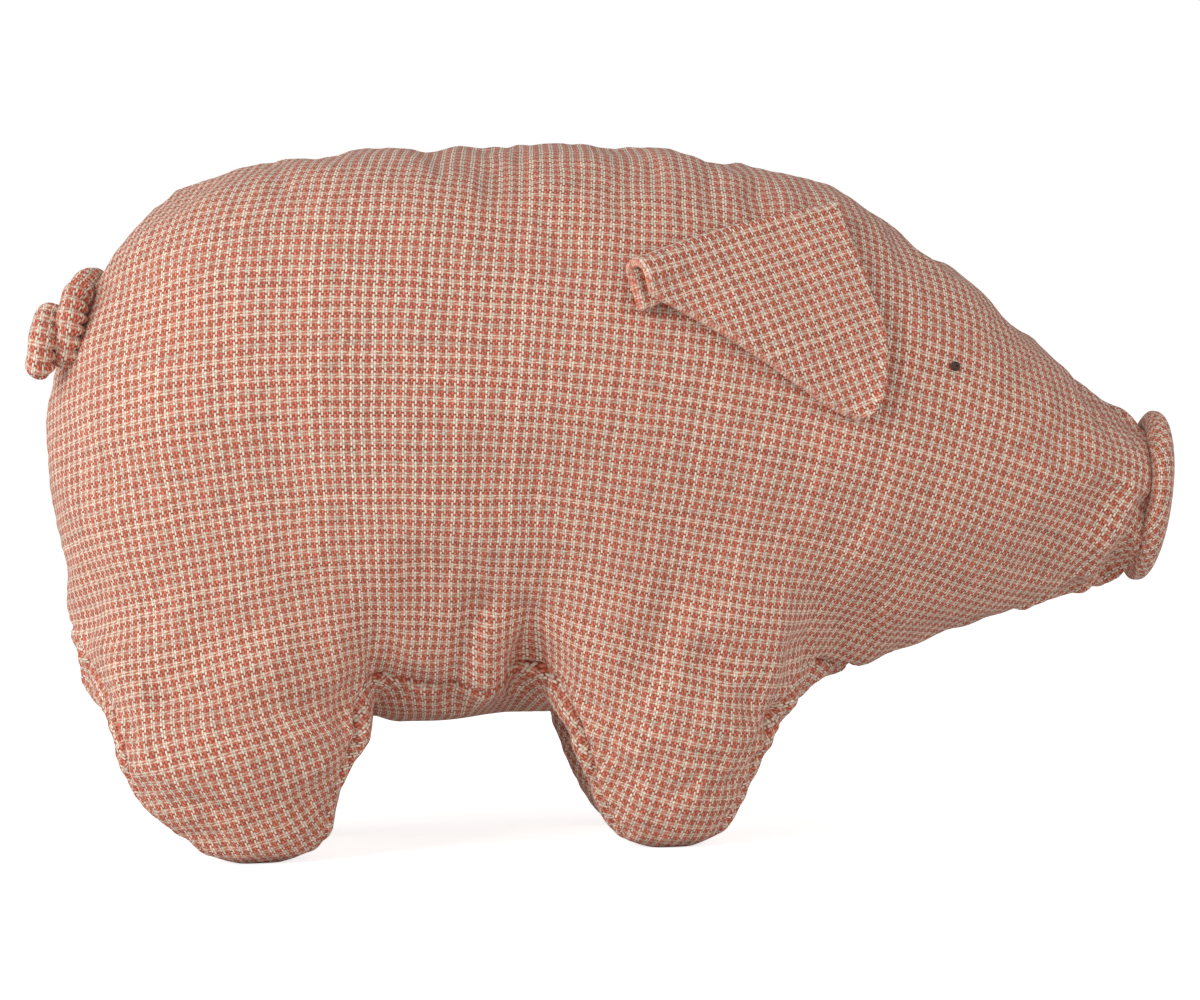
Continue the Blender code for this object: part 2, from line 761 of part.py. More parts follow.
def carry_on_axis(name, place, items):
    """Parents items, made in place, to an empty that stands on their joint's axis."""
    pivot = bpy.data.objects.new(name, None)
    pivot.location = place
    bpy.context.collection.objects.link(pivot)
    for item in items:
        item.data.transform(Matrix.Translation(-place))
        item.parent = pivot
    return pivot


def ears(skin):
    axes = []
    for hand, side in (("right", -1), ("left", 1)):
        frame = EarFrame(skin, side)
        layers = ear_layers(frame, hand)
        ear_base(frame, hand)
        middle = frame.at(frame.length / 2, 0.0, 0.0)
        pivot = carry_on_axis(f"ear_{hand}_pivot", middle, layers)
        clearance = min(-frame.cover_level(along, 0.0) for along, _ in frame.row(0.0))
        axes.append((pivot, frame.down.cross(frame.outward)))
        print(f"ear_{hand}: crease stands {clearance * PER_METRE:.2f} mm or more off the cover")
    return axes


# Tail

def corkscrew(steps):
    """The tail's loops about its own middle: down the near side, up the far side, moving back."""
    turns = np.linspace(0.0, TAIL_LOOPS, steps)
    angles = turns * math.tau
    x = -TAIL_PITCH_BACK * turns
    y = -TAIL_LOOP_REACH * np.sin(angles)
    z = TAIL_LOOP_RISE * np.cos(angles) - TAIL_PITCH_DOWN * turns
    return np.stack([x, y, z], axis=1)


def bridge(start, leave, end, arrive, steps):
    """A smooth run between two points with given directions, without its last point."""
    shares = np.linspace(0.0, 1.0, steps, endpoint=False)[:, None]
    falling = 2 * shares ** 3 - 3 * shares ** 2 + 1
    return (
        falling * start
        + (shares ** 3 - 2 * shares ** 2 + shares) * leave
        + (1 - falling) * end
        + (shares ** 3 - shares ** 2) * arrive
    )


def evenly(path, count):
    """The same path with its points evenly spaced."""
    lengths = np.linalg.norm(np.diff(path, axis=0), axis=1)
    travelled = np.concatenate([[0.0], np.cumsum(lengths)])
    places = np.linspace(0.0, travelled[-1], count)
    return np.stack([np.interp(places, travelled, path[:, k]) for k in range(3)], axis=1)


def tail_path(start, outward, back):
    """From the back seam out along the stub and on through the loops to the free end."""
    middle = start + np.array((-back, -TAIL_ASIDE, -TAIL_DROP))
    loops = corkscrew(LOOP_POINTS) + middle
    heading = loops[1] - loops[0]
    heading = heading / np.linalg.norm(heading) * TAIL_PULL
    stub = bridge(start, np.array(outward) * TAIL_PULL, loops[0], heading, TAIL_POINTS)
    return evenly(np.vstack([stub, loops]), TAIL_POINTS)


def clear_path(skin, start, outward, radii):
    """The tail's path, its loops moved back from the rump where the cover would touch them."""
    back = TAIL_BACK
    loose = int(TAIL_ROOT_SHARE * TAIL_POINTS)
    for _ in range(SETTLING_ROUNDS):
        path = tail_path(start, outward, back)
        beyond_root = zip(path[loose:], radii[loose:])
        room = min(skin.distance(place) - radius for place, radius in beyond_root)
        if room >= TAIL_REST_GAP:
            break
        back += TAIL_REST_GAP
    return path, room


def least_gap(path, radii):
    """The least clear distance between two stretches of the tube that don't follow each other."""
    length = np.linalg.norm(np.diff(path, axis=0), axis=1).sum()
    apart = int(math.pi * radii.max() / (length / len(path))) + 1
    distance = np.linalg.norm(path[:, None] - path[None], axis=2)
    distance -= radii[:, None] + radii[None]
    i, j = np.indices(distance.shape)
    return distance[abs(i - j) > apart].min()


def tail(skin):
    """The curled tube, hanging on the right of the seam, free to flop over to the left."""
    centre = Vector((place_on(TAIL_STATION_SHARE), 0.0, section_size(STATION_SHARES[1])[1]))
    upward = Vector((-math.sin(TAIL_TURN), 0.0, math.cos(TAIL_TURN)))
    root, outward = skin.hit(centre, upward)
    outward = Vector((outward.x, 0.0, outward.z)).normalized()
    start = root + outward * TAIL_ROOT_GAP
    shares = np.linspace(0.0, 1.0, TAIL_POINTS)
    swelling = np.clip(shares / TAIL_ROOT_SHARE, 0.0, 1.0)
    radii = TAIL_ROOT_RADIUS + (TAIL_RADIUS - TAIL_ROOT_RADIUS) * swelling
    radii[-len(TAIL_END_SHARES):] *= TAIL_END_SHARES
    path, room = clear_path(skin, np.array(start), outward, radii)
    curve = bpy.data.curves.new("tail_curl", "CURVE")
    curve.dimensions = "3D"
    curve.bevel_depth = TAIL_RADIUS
    curve.bevel_resolution = TAIL_BEVEL_STEPS
    curve.use_fill_caps = True
    spline = curve.splines.new("POLY")
    spline.points.add(TAIL_POINTS - 1)
    for point, place, radius in zip(spline.points, path, radii):
        point.co = (*(place - np.array(start)), 1.0)
        point.radius = radius / TAIL_RADIUS
    curve.materials.append(material("tail_curl", GINGHAM, 0.9))
    item = bpy.data.objects.new("tail_curl", curve)
    bpy.context.collection.objects.link(item)
    pivot = bpy.data.objects.new("tail_pivot", None)
    pivot.location = start
    bpy.context.collection.objects.link(pivot)
    item.parent = pivot
    print(f"tail_curl: least gap to itself {least_gap(path, radii) * PER_METRE:.2f} mm")
    print(f"tail_curl: least gap to the cover {room * PER_METRE:.2f} mm")
    seam = Vector((-outward.z, 0.0, outward.x))
    return pivot, seam


# Whole toy

def centre_on_origin():
    """Moves everything so that the origin lies under the middle of the whole toy."""
    low, high = [], []
    for item in bpy.data.objects:
        if item.type in ("MESH", "CURVE"):
            mesh = evaluated_mesh(item)
            places = [(item.matrix_world @ vertex.co).x for vertex in mesh.vertices]
            low.append(min(places))
            high.append(max(places))
            bpy.data.meshes.remove(mesh)
    shift = -(min(low) + max(high)) / 2
    for item in bpy.data.objects:
        if item.parent is None:
            item.location.x += shift
    bpy.context.view_layer.update()


def main():
    clear_scene()
    skin = smooth_skin(cover_net())
    cover_panel(skin, "side_panel_right", RIGHT)
    cover_panel(skin, "side_panel_left", LEFT)
    cover_panel(skin, "belly_gusset", GUSSET)
    all_fillings(skin)
    snout(skin)
    eyes(skin)
    axes = ears(skin)
    pivot, seam = tail(skin)
    centre_on_origin()
    for item, axis in axes + [(pivot, seam)]:
        place, along = ([round(value, 5) for value in vector] for vector in (item.location, axis))
        print(f"{item.name}: at {place}, opens about {along}")


main()
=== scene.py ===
"""Plush pig of gingham cotton, nose towards +X, dressed around its packed model: a stuffed
cover of two side panels and a belly gusset, folded ears, a padded snout disc, knotted eyes
and a gathered, curled tail. Lengths are in metres."""

import json
import math

import bmesh
import bpy
import numpy as np
from bpy.props import FloatProperty, FloatVectorProperty, PointerProperty
from mathutils import Matrix, Vector
from mathutils.bvhtree import BVHTree


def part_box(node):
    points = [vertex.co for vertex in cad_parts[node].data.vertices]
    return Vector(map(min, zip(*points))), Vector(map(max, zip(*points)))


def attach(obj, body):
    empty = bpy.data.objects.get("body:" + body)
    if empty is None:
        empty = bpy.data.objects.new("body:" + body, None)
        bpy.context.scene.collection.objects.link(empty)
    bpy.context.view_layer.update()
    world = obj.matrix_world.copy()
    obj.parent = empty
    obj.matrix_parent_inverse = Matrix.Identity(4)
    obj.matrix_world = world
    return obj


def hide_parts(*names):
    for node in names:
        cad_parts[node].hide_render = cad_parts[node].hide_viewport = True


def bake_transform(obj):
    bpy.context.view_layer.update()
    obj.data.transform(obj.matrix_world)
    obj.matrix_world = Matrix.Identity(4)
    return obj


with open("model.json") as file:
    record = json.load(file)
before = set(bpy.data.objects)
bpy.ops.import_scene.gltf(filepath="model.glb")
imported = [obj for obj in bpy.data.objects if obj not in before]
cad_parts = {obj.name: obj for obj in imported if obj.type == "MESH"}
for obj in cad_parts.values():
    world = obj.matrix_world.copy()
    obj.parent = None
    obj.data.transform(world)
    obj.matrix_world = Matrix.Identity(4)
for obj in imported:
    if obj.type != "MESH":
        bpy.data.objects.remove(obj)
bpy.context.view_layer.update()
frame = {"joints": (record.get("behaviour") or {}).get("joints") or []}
JOINTS = {joint["name"]: joint for joint in frame["joints"]}

bl_info = {
    "name": "Plush gingham pig",
    "version": (1, 0, 0),
    "blender": (4, 5, 0),
    "location": "3D View > Sidebar > Pig",
    "description": "Makes the cloth, seams, ears, snout, eyes and tail of a stuffed pig",
    "category": "Add Mesh",
}

# Body: lengths, and stations of place, top, bottom, half width, seam, power and flare
BODY_LENGTH = 0.288
BODY_HEIGHT = 0.1853
BODY_WIDTH = 0.110
STATION_SHARES = np.array([
    (0.062, 0.847, 0.227, 0.67, 0.55, 2.10, -0.026),
    (0.156, 0.970, 0.212, 0.91, 0.58, 2.25, 0.0),
    (0.250, 0.994, 0.205, 0.99, 0.56, 2.35, 0.024),
    (0.326, 1.000, 0.199, 1.00, 0.53, 2.35, 0.0),
    (0.396, 0.994, 0.205, 0.99, 0.52, 2.35, 0.0),
    (0.461, 0.996, 0.204, 0.97, 0.54, 2.35, -0.026),
    (0.557, 0.981, 0.203, 0.95, 0.56, 2.30, 0.0),
    (0.652, 0.951, 0.208, 0.91, 0.50, 2.25, 0.022),
    (0.722, 0.914, 0.238, 0.86, 0.24, 2.20, 0.0),
    (0.799, 0.839, 0.276, 0.78, 0.40, 2.10, 0.0),
    (0.880, 0.727, 0.307, 0.655, 0.50, 2.00, 0.0),
    (0.944, 0.630, 0.333, 0.51, 0.55, 2.00, 0.0),
    (0.988, 0.569, 0.357, 0.36, 0.60, 2.00, 0.0),
])
UPPER_TURN_SHARES = np.array([0.0, 0.155, 0.311, 0.478, 0.678])
UNDER_SHARES = np.array([1.0, 0.5, 0.0])
FLARE_SHARES = np.array([0.0, 0.0, 0.0, 0.0, 0.4, 1.0, 1.0, 0.5])
RUMP_SHARES = np.array([
    (0.033, 0.793), (0.010, 0.707), (0.000, 0.594), (0.005, 0.464), (0.017, 0.335), (0.040, 0.264),
])
MUZZLE_TILT = math.radians(8.6)
MUZZLE_BULGE = 0.0020

# Legs: station, length, width, then height, length, width and lean at each level
LEG_HEIGHT = 0.0360
LEG_SPREAD = 0.062
LEG_POWER = 2.4
SOLE_CUT = 0.0005
HIND_LEG = (0, 0.064, 0.040, np.array([
    (0.94, 1.00, 1.00, 0.00), (0.50, 0.80, 0.92, 0.000), (0.15, 0.53, 0.66, 0.052),
    (0.01, 0.24, 0.28, 0.065),
]))
FRONT_LEG = (5, 0.056, 0.038, np.array([
    (0.94, 0.98, 1.00, -0.020), (0.50, 0.75, 0.92, -0.055), (0.15, 0.53, 0.66, -0.078),
    (0.01, 0.25, 0.28, -0.075),
]))
LEG_ROOT = ((0, 4), (0, 5), (0, 6), (1, 6), (2, 6), (2, 5), (2, 4), (1, 4))
RIGHT, LEFT, GUSSET = range(3)
SEAM_TURN = 0.36
SETTLING_ROUNDS = 20
COVER_LEVELS = 3
GRAIN_TILT = math.radians(6.0)
LEVEL_FACE_SHARE = 0.93

# Places where the stuffing pushes the cover, in millimetres: X, Z, reach, push in X and in Z
MM = 0.001
PUSHES = np.array([
    (-145.0, 103.0, 26.0, -1.5, 0.0),
    (-139.0, 52.0, 17.0, -3.2, 0.0),
    (-90.0, 183.0, 17.0, 0.0, -3.0),
    (-116.0, 171.0, 12.0, -1.5, 1.2),
    (-51.0, 186.0, 16.0, 0.0, -1.2),
    (19.0, 181.0, 12.0, 0.0, 1.3),
    (87.0, 158.0, 12.0, 0.0, -1.0),
    (-61.0, 31.0, 9.0, 3.2, -3.4),
    (-43.0, 35.0, 14.0, 0.0, -2.6),
    (-18.0, 31.0, 9.0, -1.5, -3.6),
    (46.0, 38.0, 8.0, 0.0, -3.5),
    (138.0, 113.0, 12.0, 1.0, 2.4),
    (139.0, 70.0, 14.0, 2.6, -1.2),
    (143.0, 92.0, 12.0, 0.8, 0.0),
])

# Folds of the right side, in millimetres of X and Z: start, end, half width, height
FOLDS = np.array([
    (-118.0, 45.0, -71.8, 38.5, 4.5, -2.6),
    (-108.6, 33.4, -80.7, 27.1, 8.0, 1.6),
    (-36.5, 65.0, -43.8, 41.2, 4.0, -3.0),
    (-33.7, 57.0, -34.7, 40.8, 4.0, 1.8),
    (-23.6, 61.8, -25.5, 41.0, 4.0, -2.8),
    (13.1, 62.9, -4.1, 28.3, 6.0, -2.2),
    (41.8, 31.6, 23.0, 49.4, 5.0, -2.8),
    (46.6, 51.0, 42.6, 32.3, 3.5, -2.4),
    (-70.2, 42.9, -69.2, 23.2, 4.0, -2.3),
    (74.6, 64.2, 67.9, 47.5, 5.0, 1.7),
    (137.5, 88.0, 128.0, 66.5, 2.8, 1.7),
    (141.5, 84.0, 133.5, 65.0, 3.0, -2.0),
    (-83.9, 181.3, -83.7, 174.2, 2.5, -0.9),
    (-42.0, 183.7, -41.7, 177.1, 2.5, -0.8),
    (-21.1, 182.8, -20.9, 175.5, 2.5, -0.8),
    (12.8, 180.3, 13.0, 173.3, 2.5, -0.9),
    (28.3, 176.5, 27.5, 169.5, 2.5, -1.0),
    (41.4, 175.2, 40.1, 169.0, 2.5, -0.8),
    (55.6, 170.9, 54.0, 165.8, 2.5, -0.8),
    (79.8, 156.6, 77.0, 151.7, 2.5, -0.8),
    (105.1, 135.1, 101.8, 131.8, 2.5, -0.7),
    (-139.2, 61.5, -132.4, 62.5, 5.0, -1.8),
])
LEFT_FOLD_SHIFT = 5.0
LEFT_FOLD_SHARE = 0.8

# Stuffing: how the cloth is simulated, which points it holds, and how the filling tucks in
CLOTH_SETTINGS = {
    "quality": 6, "mass": 0.2, "tension_stiffness": 12.0, "compression_stiffness": 12.0,
    "shear_stiffness": 4.0, "bending_stiffness": 0.15, "air_damping": 2.0, "use_pressure": True,
}
CLOTH_STEPS = 20
SOLE_HEIGHT = 0.002
MUZZLE_START = 0.126
MUZZLE_REACH = 0.010
MUZZLE_SLACK = 1.8
TUCK_ROUNDS = 5
TUCK_SHARE = 0.75
FILLINGS = (
    "body_filling", "head_filling", "hind_leg_right_filling", "hind_leg_left_filling",
    "front_leg_right_filling", "front_leg_left_filling",
)

# Seams: gap, puckers and dents by wave length, height and seed, and the ridge beside a seam
SEAM_GAP = 0.0003
PUCKER_REACH = 0.0075
PUCKER_WAVES = ((0.013, 1.0, 3), (0.006, 0.6, 5))
DENT_WAVES = ((0.034, 0.0004, 8), (0.015, 0.00022, 9))
RIDGE_RISE = 0.0004
RIDGE_PLACE = 0.0032
RIDGE_WIDTH = 0.0016
GROOVE_POWER = 1.4
RESTING_HEIGHT = 0.006
NORMAL_ROUNDS = 6
SOLE_LINING = 0.0002

# Ears: crease, flap and lean, then the flap's cloth, fold, sagging rear end and sewn strip
EAR_LENGTH = 0.06059
EAR_DEPTH = 0.05706
EAR_LEAN = math.radians(17.2)
FLAP_ROWS = 60
FLAP_COLUMNS = 40
LIP_ROWS = 10
CURL_ROWS = 16
TIP_SHARE = 0.88
RIM_WIDTH = 0.0013
RIM_POWER = 0.55
RIM_LUMPS = 0.3
STITCH_PLACE = 0.0038
STITCH_WIDTH = 0.0010
STITCH_SHARE = 0.25
EAR_CLEARANCE = 0.0012
LEAST_CLEARANCE = 0.0008
SOFTENING_ROUNDS = 10
FOLD_FADE_SHARE = 0.35
FOLD_END_SHARE = 0.10
CORNER_RISE = 0.0016
EDGE_RISE = 0.0009
FLAP_WAVE = 0.0004
STEEPEST = 0.8
OPEN_SHARE = 0.42
SAG_FRONT = 0.0009
SAG_REAR = 0.0041
SAG_POWER = 2.6
LIP_TURN = 1.25
LIP_SPREAD = 0.0003
UNDER_SHARE = -0.080
STRIP_ROOM = 0.0019
STRIP_ROWS = 12
STRIP_COLUMNS = 48
STRIP_SHARES = (0.02, 0.97)
STRIP_DEPTH = 0.0060
STRIP_THICKNESS = 0.0014
STRIP_GAP = 0.0002
FOLD_GAP = 0.0003
SIGHT_START = 0.08
SIGHT_LENGTH = 0.2
NO_COVER = -0.05
BEND_SHARES = (0.2, 1.0, 2.0)
BEND_START = 0.009
BEND_END = 0.026

# Snout: disc radius, how far its front and back faces crown, roundness of its rim
SNOUT_RADIUS = 0.0229
SNOUT_FRONT_RISE = 0.0058
SNOUT_BACK_RISE = 0.0036
SNOUT_POWER = 2.6
SNOUT_SEAM = 2.35
SNOUT_LUMPS = 0.006
SNOUT_AHEAD = 0.0006
SNOUT_ABOVE = 0.0012
SNOUT_OVERLAP = 0.06
DISC_STEPS = 30
DISC_SIDES = 128
WADDING_STEPS = 16
WADDING_SIDES = 64

# Eyes: a thread wound in a narrowing, rising spiral
EYE_THREAD = 0.00048
EYE_TURNS = 2.6
EYE_POINTS = 110
EYE_SIDES = 12
EYE_REACH = 0.00098
EYE_NARROWING = 0.00062
EYE_OVAL = 0.92
EYE_FOOT = 0.00040
EYE_RISE = 0.00085
THREAD_END_SHARES = np.array([0.35, 0.7, 0.9])

# Tail: its seat, the corkscrew's sizes, and the tube
TAIL_START = np.array(JOINTS["tail_flop"]["pos_m"]) + (-0.0006, 0.0, -0.0020)
TAIL_AXIS = np.array(JOINTS["tail_flop"]["axis"])
TAIL_OUT = np.array([TAIL_AXIS[2], 0.0, -TAIL_AXIS[0]])
TAIL_LOOP_RISE = 0.0063
TAIL_LOOP_REACH = 0.0051
TAIL_PITCH_BACK = 0.0075
TAIL_PITCH_DOWN = 0.0056
TAIL_LOOPS = 1.44
TAIL_BACK = 0.0066
TAIL_ASIDE = 0.0138
TAIL_DROP = 0.0102
TAIL_PULL = 0.0130
TAIL_RINGS = 220
TAIL_SIDES = 32
TAIL_SEWN_IN = 0.0024
TAIL_ROOT_RADIUS = 0.0014
TAIL_ROOT_SHARE = 0.20
TAIL_END_SHARE = 0.0025
TAIL_CLOTH_SHARE = 0.94
TAIL_UNEVENNESS = 0.04
SEWN_POINTS = 12
STUB_POINTS = 100
LOOP_POINTS = 400
GATHER_POWER = 0.7
GATHER_MIDDLE = 0.62

# Weave: counts of yarns, then noises by waves per metre and what they move or shade, then the
# shade and highlight painted into the weave by its depth
FAR_YARNS = 40000.0
CHECK_YARNS = 4.0
WEFT_RISE = 0.90
DRIFT_WAVES, DRIFT_YARNS = 95.0, 1.5
WOBBLE_WAVES, WOBBLE_YARNS = 700.0, 0.5
FIBRE_WAVES, FIBRE_SHADE, FIBRE_RISE = 5200.0, 0.5, 0.3
WARP_SLUBS = (0.24, 330.0, 0.60, 0.58)
WEFT_SLUBS = (0.34, 290.0, 0.60, 0.50)
# Painted shade: the weave's colour darkens with depth into the recesses between floats and rises a
# little past the yarn colour on their crowns as a painted highlight; the painted shade keeps more
# red than blue
RECESS_SHADE_POWER, RECESS_SHADE_RISE, RECESS_SHADE_BASE = 0.7, 0.80, 0.33
RED_SHADE_POWER = 0.80
BLUE_SHADE_POWER = 1.05
WEAVE_BUMP = 0.00022
# Turned ear edge: waves, slope and start of the noise that mixes the two warp colours there, and
# how much of it shows
EDGE_MIX_WAVES, EDGE_MIX_SLOPE, EDGE_MIX_START = 1100.0, 9.0, 4.2
EAR_EDGE_MIX = 0.5
EAR_GRAIN = math.radians(-6.0)
SNOUT_GRAIN = 0.12
TAIL_GRAIN = 0.1
WHITE = (1.0, 1.0, 1.0, 1.0)
BLACK = (0.0, 0.0, 0.0, 1.0)

# Stage: camera, floor and room, then the lights by place, size and power
CAMERA_AZIMUTH = math.radians(-5.0)
CAMERA_ELEVATION = math.radians(2.0)
CAMERA_ROLL = math.radians(1.70)
CAMERA_DISTANCE = 1.25
CAMERA_TARGET = (-0.0034, -0.030, 0.0908)
CAMERA_SENSOR = 36.0
CAMERA_CLIP = (0.05, 20.0)
VIEW_WIDTH = 0.3125
FLOOR_SIZE = 6.0
FLOOR_COLOUR = (0.86, 0.86, 0.86, 1.0)
FLOOR_GLOW = 0.76
ROOM_LIGHT = 0.33
LIGHT_TARGET = (0.0, 0.0, 0.09)
LIGHTS = (
    ("key", (-1.00, -0.85, 0.72), 0.7, 10.0),
    ("side", (-1.50, -0.25, 0.25), 0.6, 6.0),
    ("fill", (1.1, -0.9, 0.50), 0.9, 5.5),
)

# The finished cover's mesh, normals and search tree, made once by fine_cover
FINE = {}


def length_setting(name, description, default, least=0.0):
    """A length in metres."""
    return FloatProperty(
        name=name, description=description, default=default, min=least, unit="LENGTH",
        precision=6)


def number_setting(name, description, default, least=0.0, most=2.0, subtype="NONE"):
    """A share, a count of yarns, a pressure or an angle."""
    return FloatProperty(
        name=name, description=description, default=default, min=least, max=most,
        subtype=subtype)


def colour_setting(name, description, default):
    """A colour of linear red, green and blue."""
    return FloatVectorProperty(
        name=name, description=description, default=default, subtype="COLOR", size=3,
        min=0.0, max=1.0)


class PigClothSettings(bpy.types.PropertyGroup):
    """Sizes and colours of the woven cotton"""
    yarn_across: length_setting(
        "Warp spacing", "Distance between two upright yarns", 0.000632, 0.0001)
    yarn_down: length_setting(
        "Weft spacing", "Distance between two level yarns", 0.000692, 0.0001)
    cream_warp: colour_setting(
        "Cream warp", "Colour of the pale upright yarns", (0.86, 0.73, 0.59))
    # Painted shade: the level yarns' colours are their dye darkened because they lie lower in the
    # weave than the upright yarns
    shaded_cream_weft: colour_setting(
        "Cream weft", "Colour of the pale level yarns", (0.78, 0.60, 0.46))
    red_warp: colour_setting(
        "Red warp", "Colour of the red upright yarns", (0.74, 0.235, 0.150))
    # Painted shade: darker than the red warp because the level yarns lie lower in the weave
    shaded_red_weft: colour_setting(
        "Red weft", "Colour of the red level yarns", (0.50, 0.100, 0.056))
    thread: colour_setting("Eye thread", "Colour of the knotted eyes", (0.045, 0.016, 0.010))
    # Painted highlight: the lighter colour painted on the thread's raised strands
    thread_highlight: colour_setting(
        "Thread's light", "Colour of the eye thread's raised strands", (0.16, 0.07, 0.045))
    filling: colour_setting("Filling", "Colour of the fibre filling", (0.85, 0.84, 0.80))
    # Painted shade: the darker colour painted into the hollows between the fibre's lumps
    filling_hollow_shade: colour_setting(
        "Filling's hollows", "Colour between the lumps of fibre", (0.66, 0.65, 0.62))
    warp_width: number_setting(
        "Warp width", "Half width of an upright float, in yarn spacings", 0.50, 0.1)
    warp_float: number_setting(
        "Warp float", "Half length of an upright float, in yarn spacings", 0.92, 0.1)
    weft_width: number_setting(
        "Weft width", "Half width of a level float, in yarn spacings", 0.38, 0.1)
    weft_float: number_setting(
        "Weft float", "Half length of a level float, in yarn spacings", 1.10, 0.1)
    thickness: length_setting(
        "Cloth thickness", "Thickness of one layer of cloth", 0.0010, 0.0001)


class PigCoverSettings(bpy.types.PropertyGroup):
    """How the cover is stuffed and sewn"""
    pressure: number_setting(
        "Stuffing pressure", "Pressure of the filling on the cover", 4.0, most=100.0)
    spare: number_setting(
        "Spare cloth", "Share by which the cloth is wider than its seams", 0.035, most=0.2)
    swell: length_setting(
        "Most swelling", "Furthest that a point may move from the pattern", 0.0035)
    groove: length_setting("Seam depth", "Depth of the groove along a seam", 0.0016)
    groove_width: length_setting(
        "Seam width", "Half width of the groove along a seam", 0.0011, 0.0001)
    pucker: length_setting(
        "Puckers", "Height of the small puckers beside the seams", 0.0007)


class PigEarSettings(bpy.types.PropertyGroup):
    """Sizes of the folded ears"""
    thickness: length_setting(
        "Ear thickness", "Thickness of the two layers of cloth", 0.0022, 0.0005)
    rim: length_setting(
        "Turned edge", "How far the turned edge stands above the flap", 0.0004)
    curl: length_setting(
        "Fold radius", "Outer radius of the fold along the crease", 0.0023, 0.0013)
    opening: length_setting(
        "Open end", "Radius of the fold's middle surface at its rear end", 0.0043, 0.0013)
    lip: length_setting(
        "Lower lip", "How far the cloth runs back under the open end", 0.0036)


class PigTailSettings(bpy.types.PropertyGroup):
    """Sizes of the curled tail"""
    radius: length_setting("Tail radius", "Radius of the stuffed tail", 0.0036, 0.001)
    gathers: number_setting(
        "Gathers", "Depth of the gathers as a share of the radius", 0.52, most=0.6,
        subtype="FACTOR")
    gather_side: number_setting(
        "Gathered side", "Turn of the gathered side from the loops' middle",
        math.radians(115.0), most=math.tau, subtype="ANGLE")
    gather_spacing: length_setting(
        "Gather spacing", "Distance between two gathers", 0.0029, 0.0005)


# Nodes

class Wire:
    """A node's output that takes part in Python arithmetic."""

    def __init__(self, sheet, socket):
        self.sheet = sheet
        self.socket = socket

    def output(self, name):
        return Wire(self.sheet, self.socket.node.outputs[name])

    def __add__(self, other):
        return self.sheet.math("ADD", self, other)

    def __sub__(self, other):
        return self.sheet.math("SUBTRACT", self, other)

    def __rsub__(self, other):
        return self.sheet.math("SUBTRACT", other, self)

    def __mul__(self, other):
        return self.sheet.math("MULTIPLY", self, other)

    def __truediv__(self, other):
        return self.sheet.math("DIVIDE", self, other)

    def __pow__(self, other):
        return self.sheet.math("POWER", self, other)

    def __lt__(self, other):
        return self.sheet.math("LESS_THAN", self, other)

    __radd__ = __add__
    __rmul__ = __mul__


class Sheet:
    """The nodes of one material or world, beside those of its main shader."""

    def __init__(self, owner, shader="Principled BSDF"):
        owner.use_nodes = True
        self.owner = owner
        self.tree = owner.node_tree
        self.shader = self.tree.nodes[shader]

    def node(self, kind, settings=None, inputs=None):
        """Adds a node, sets it, then fills its sockets with values or links."""
        made = self.tree.nodes.new(kind)
        for name, value in (settings or {}).items():
            setattr(made, name, value)
        for name, value in (inputs or {}).items():
            self.fill(made.inputs[name], value)
        return Wire(self, made.outputs[0])

    def fill(self, socket, value):
        if isinstance(value, Wire):
            self.tree.links.new(value.socket, socket)
        else:
            socket.default_value = value

    def math(self, operation, *values):
        return self.node("ShaderNodeMath", {"operation": operation}, dict(enumerate(values)))

    def mix(self, share, first, second, blend="MIX"):
        """Mixes two colours; numbers alone never meet here."""
        made = self.tree.nodes.new("ShaderNodeMix")
        made.data_type = "RGBA"
        made.blend_type = blend
        for socket, value in ((0, share), (6, first), (7, second)):
            self.fill(made.inputs[socket], value)
        return Wire(self, made.outputs[2])

    def noise(self, place, scale, detail=2.0, roughness=0.5):
        return self.node(
            "ShaderNodeTexNoise", {"noise_dimensions": "3D"},
            {"Vector": place, "Scale": scale, "Detail": detail, "Roughness": roughness})

    def chance(self, value):
        """An even random number for each whole number."""
        return self.node("ShaderNodeTexWhiteNoise", {"noise_dimensions": "1D"}, {"W": value})

    def parted(self, value):
        """Three uneven numbers of a noise, in its colour's channels."""
        return self.node("ShaderNodeSeparateColor", {}, {"Color": value.output("Color")})

    def blended(self, red, green, blue):
        return self.node(
            "ShaderNodeCombineColor", {}, {"Red": red, "Green": green, "Blue": blue})

    def bump(self, height, distance, strength):
        return self.node(
            "ShaderNodeBump", {}, {"Strength": strength, "Distance": distance, "Height": height})

    def set(self, **values):
        for name, value in values.items():
            self.fill(self.shader.inputs[name.replace("_", " ")], value)


def colour(values):
    return (*values, 1.0)


def fabric_sheet(name):
    """A new material and the flat cloth's UV map in it."""
    sheet = Sheet(bpy.data.materials.new(name))
    return sheet, sheet.node("ShaderNodeUVMap", {"uv_map": "cloth"})


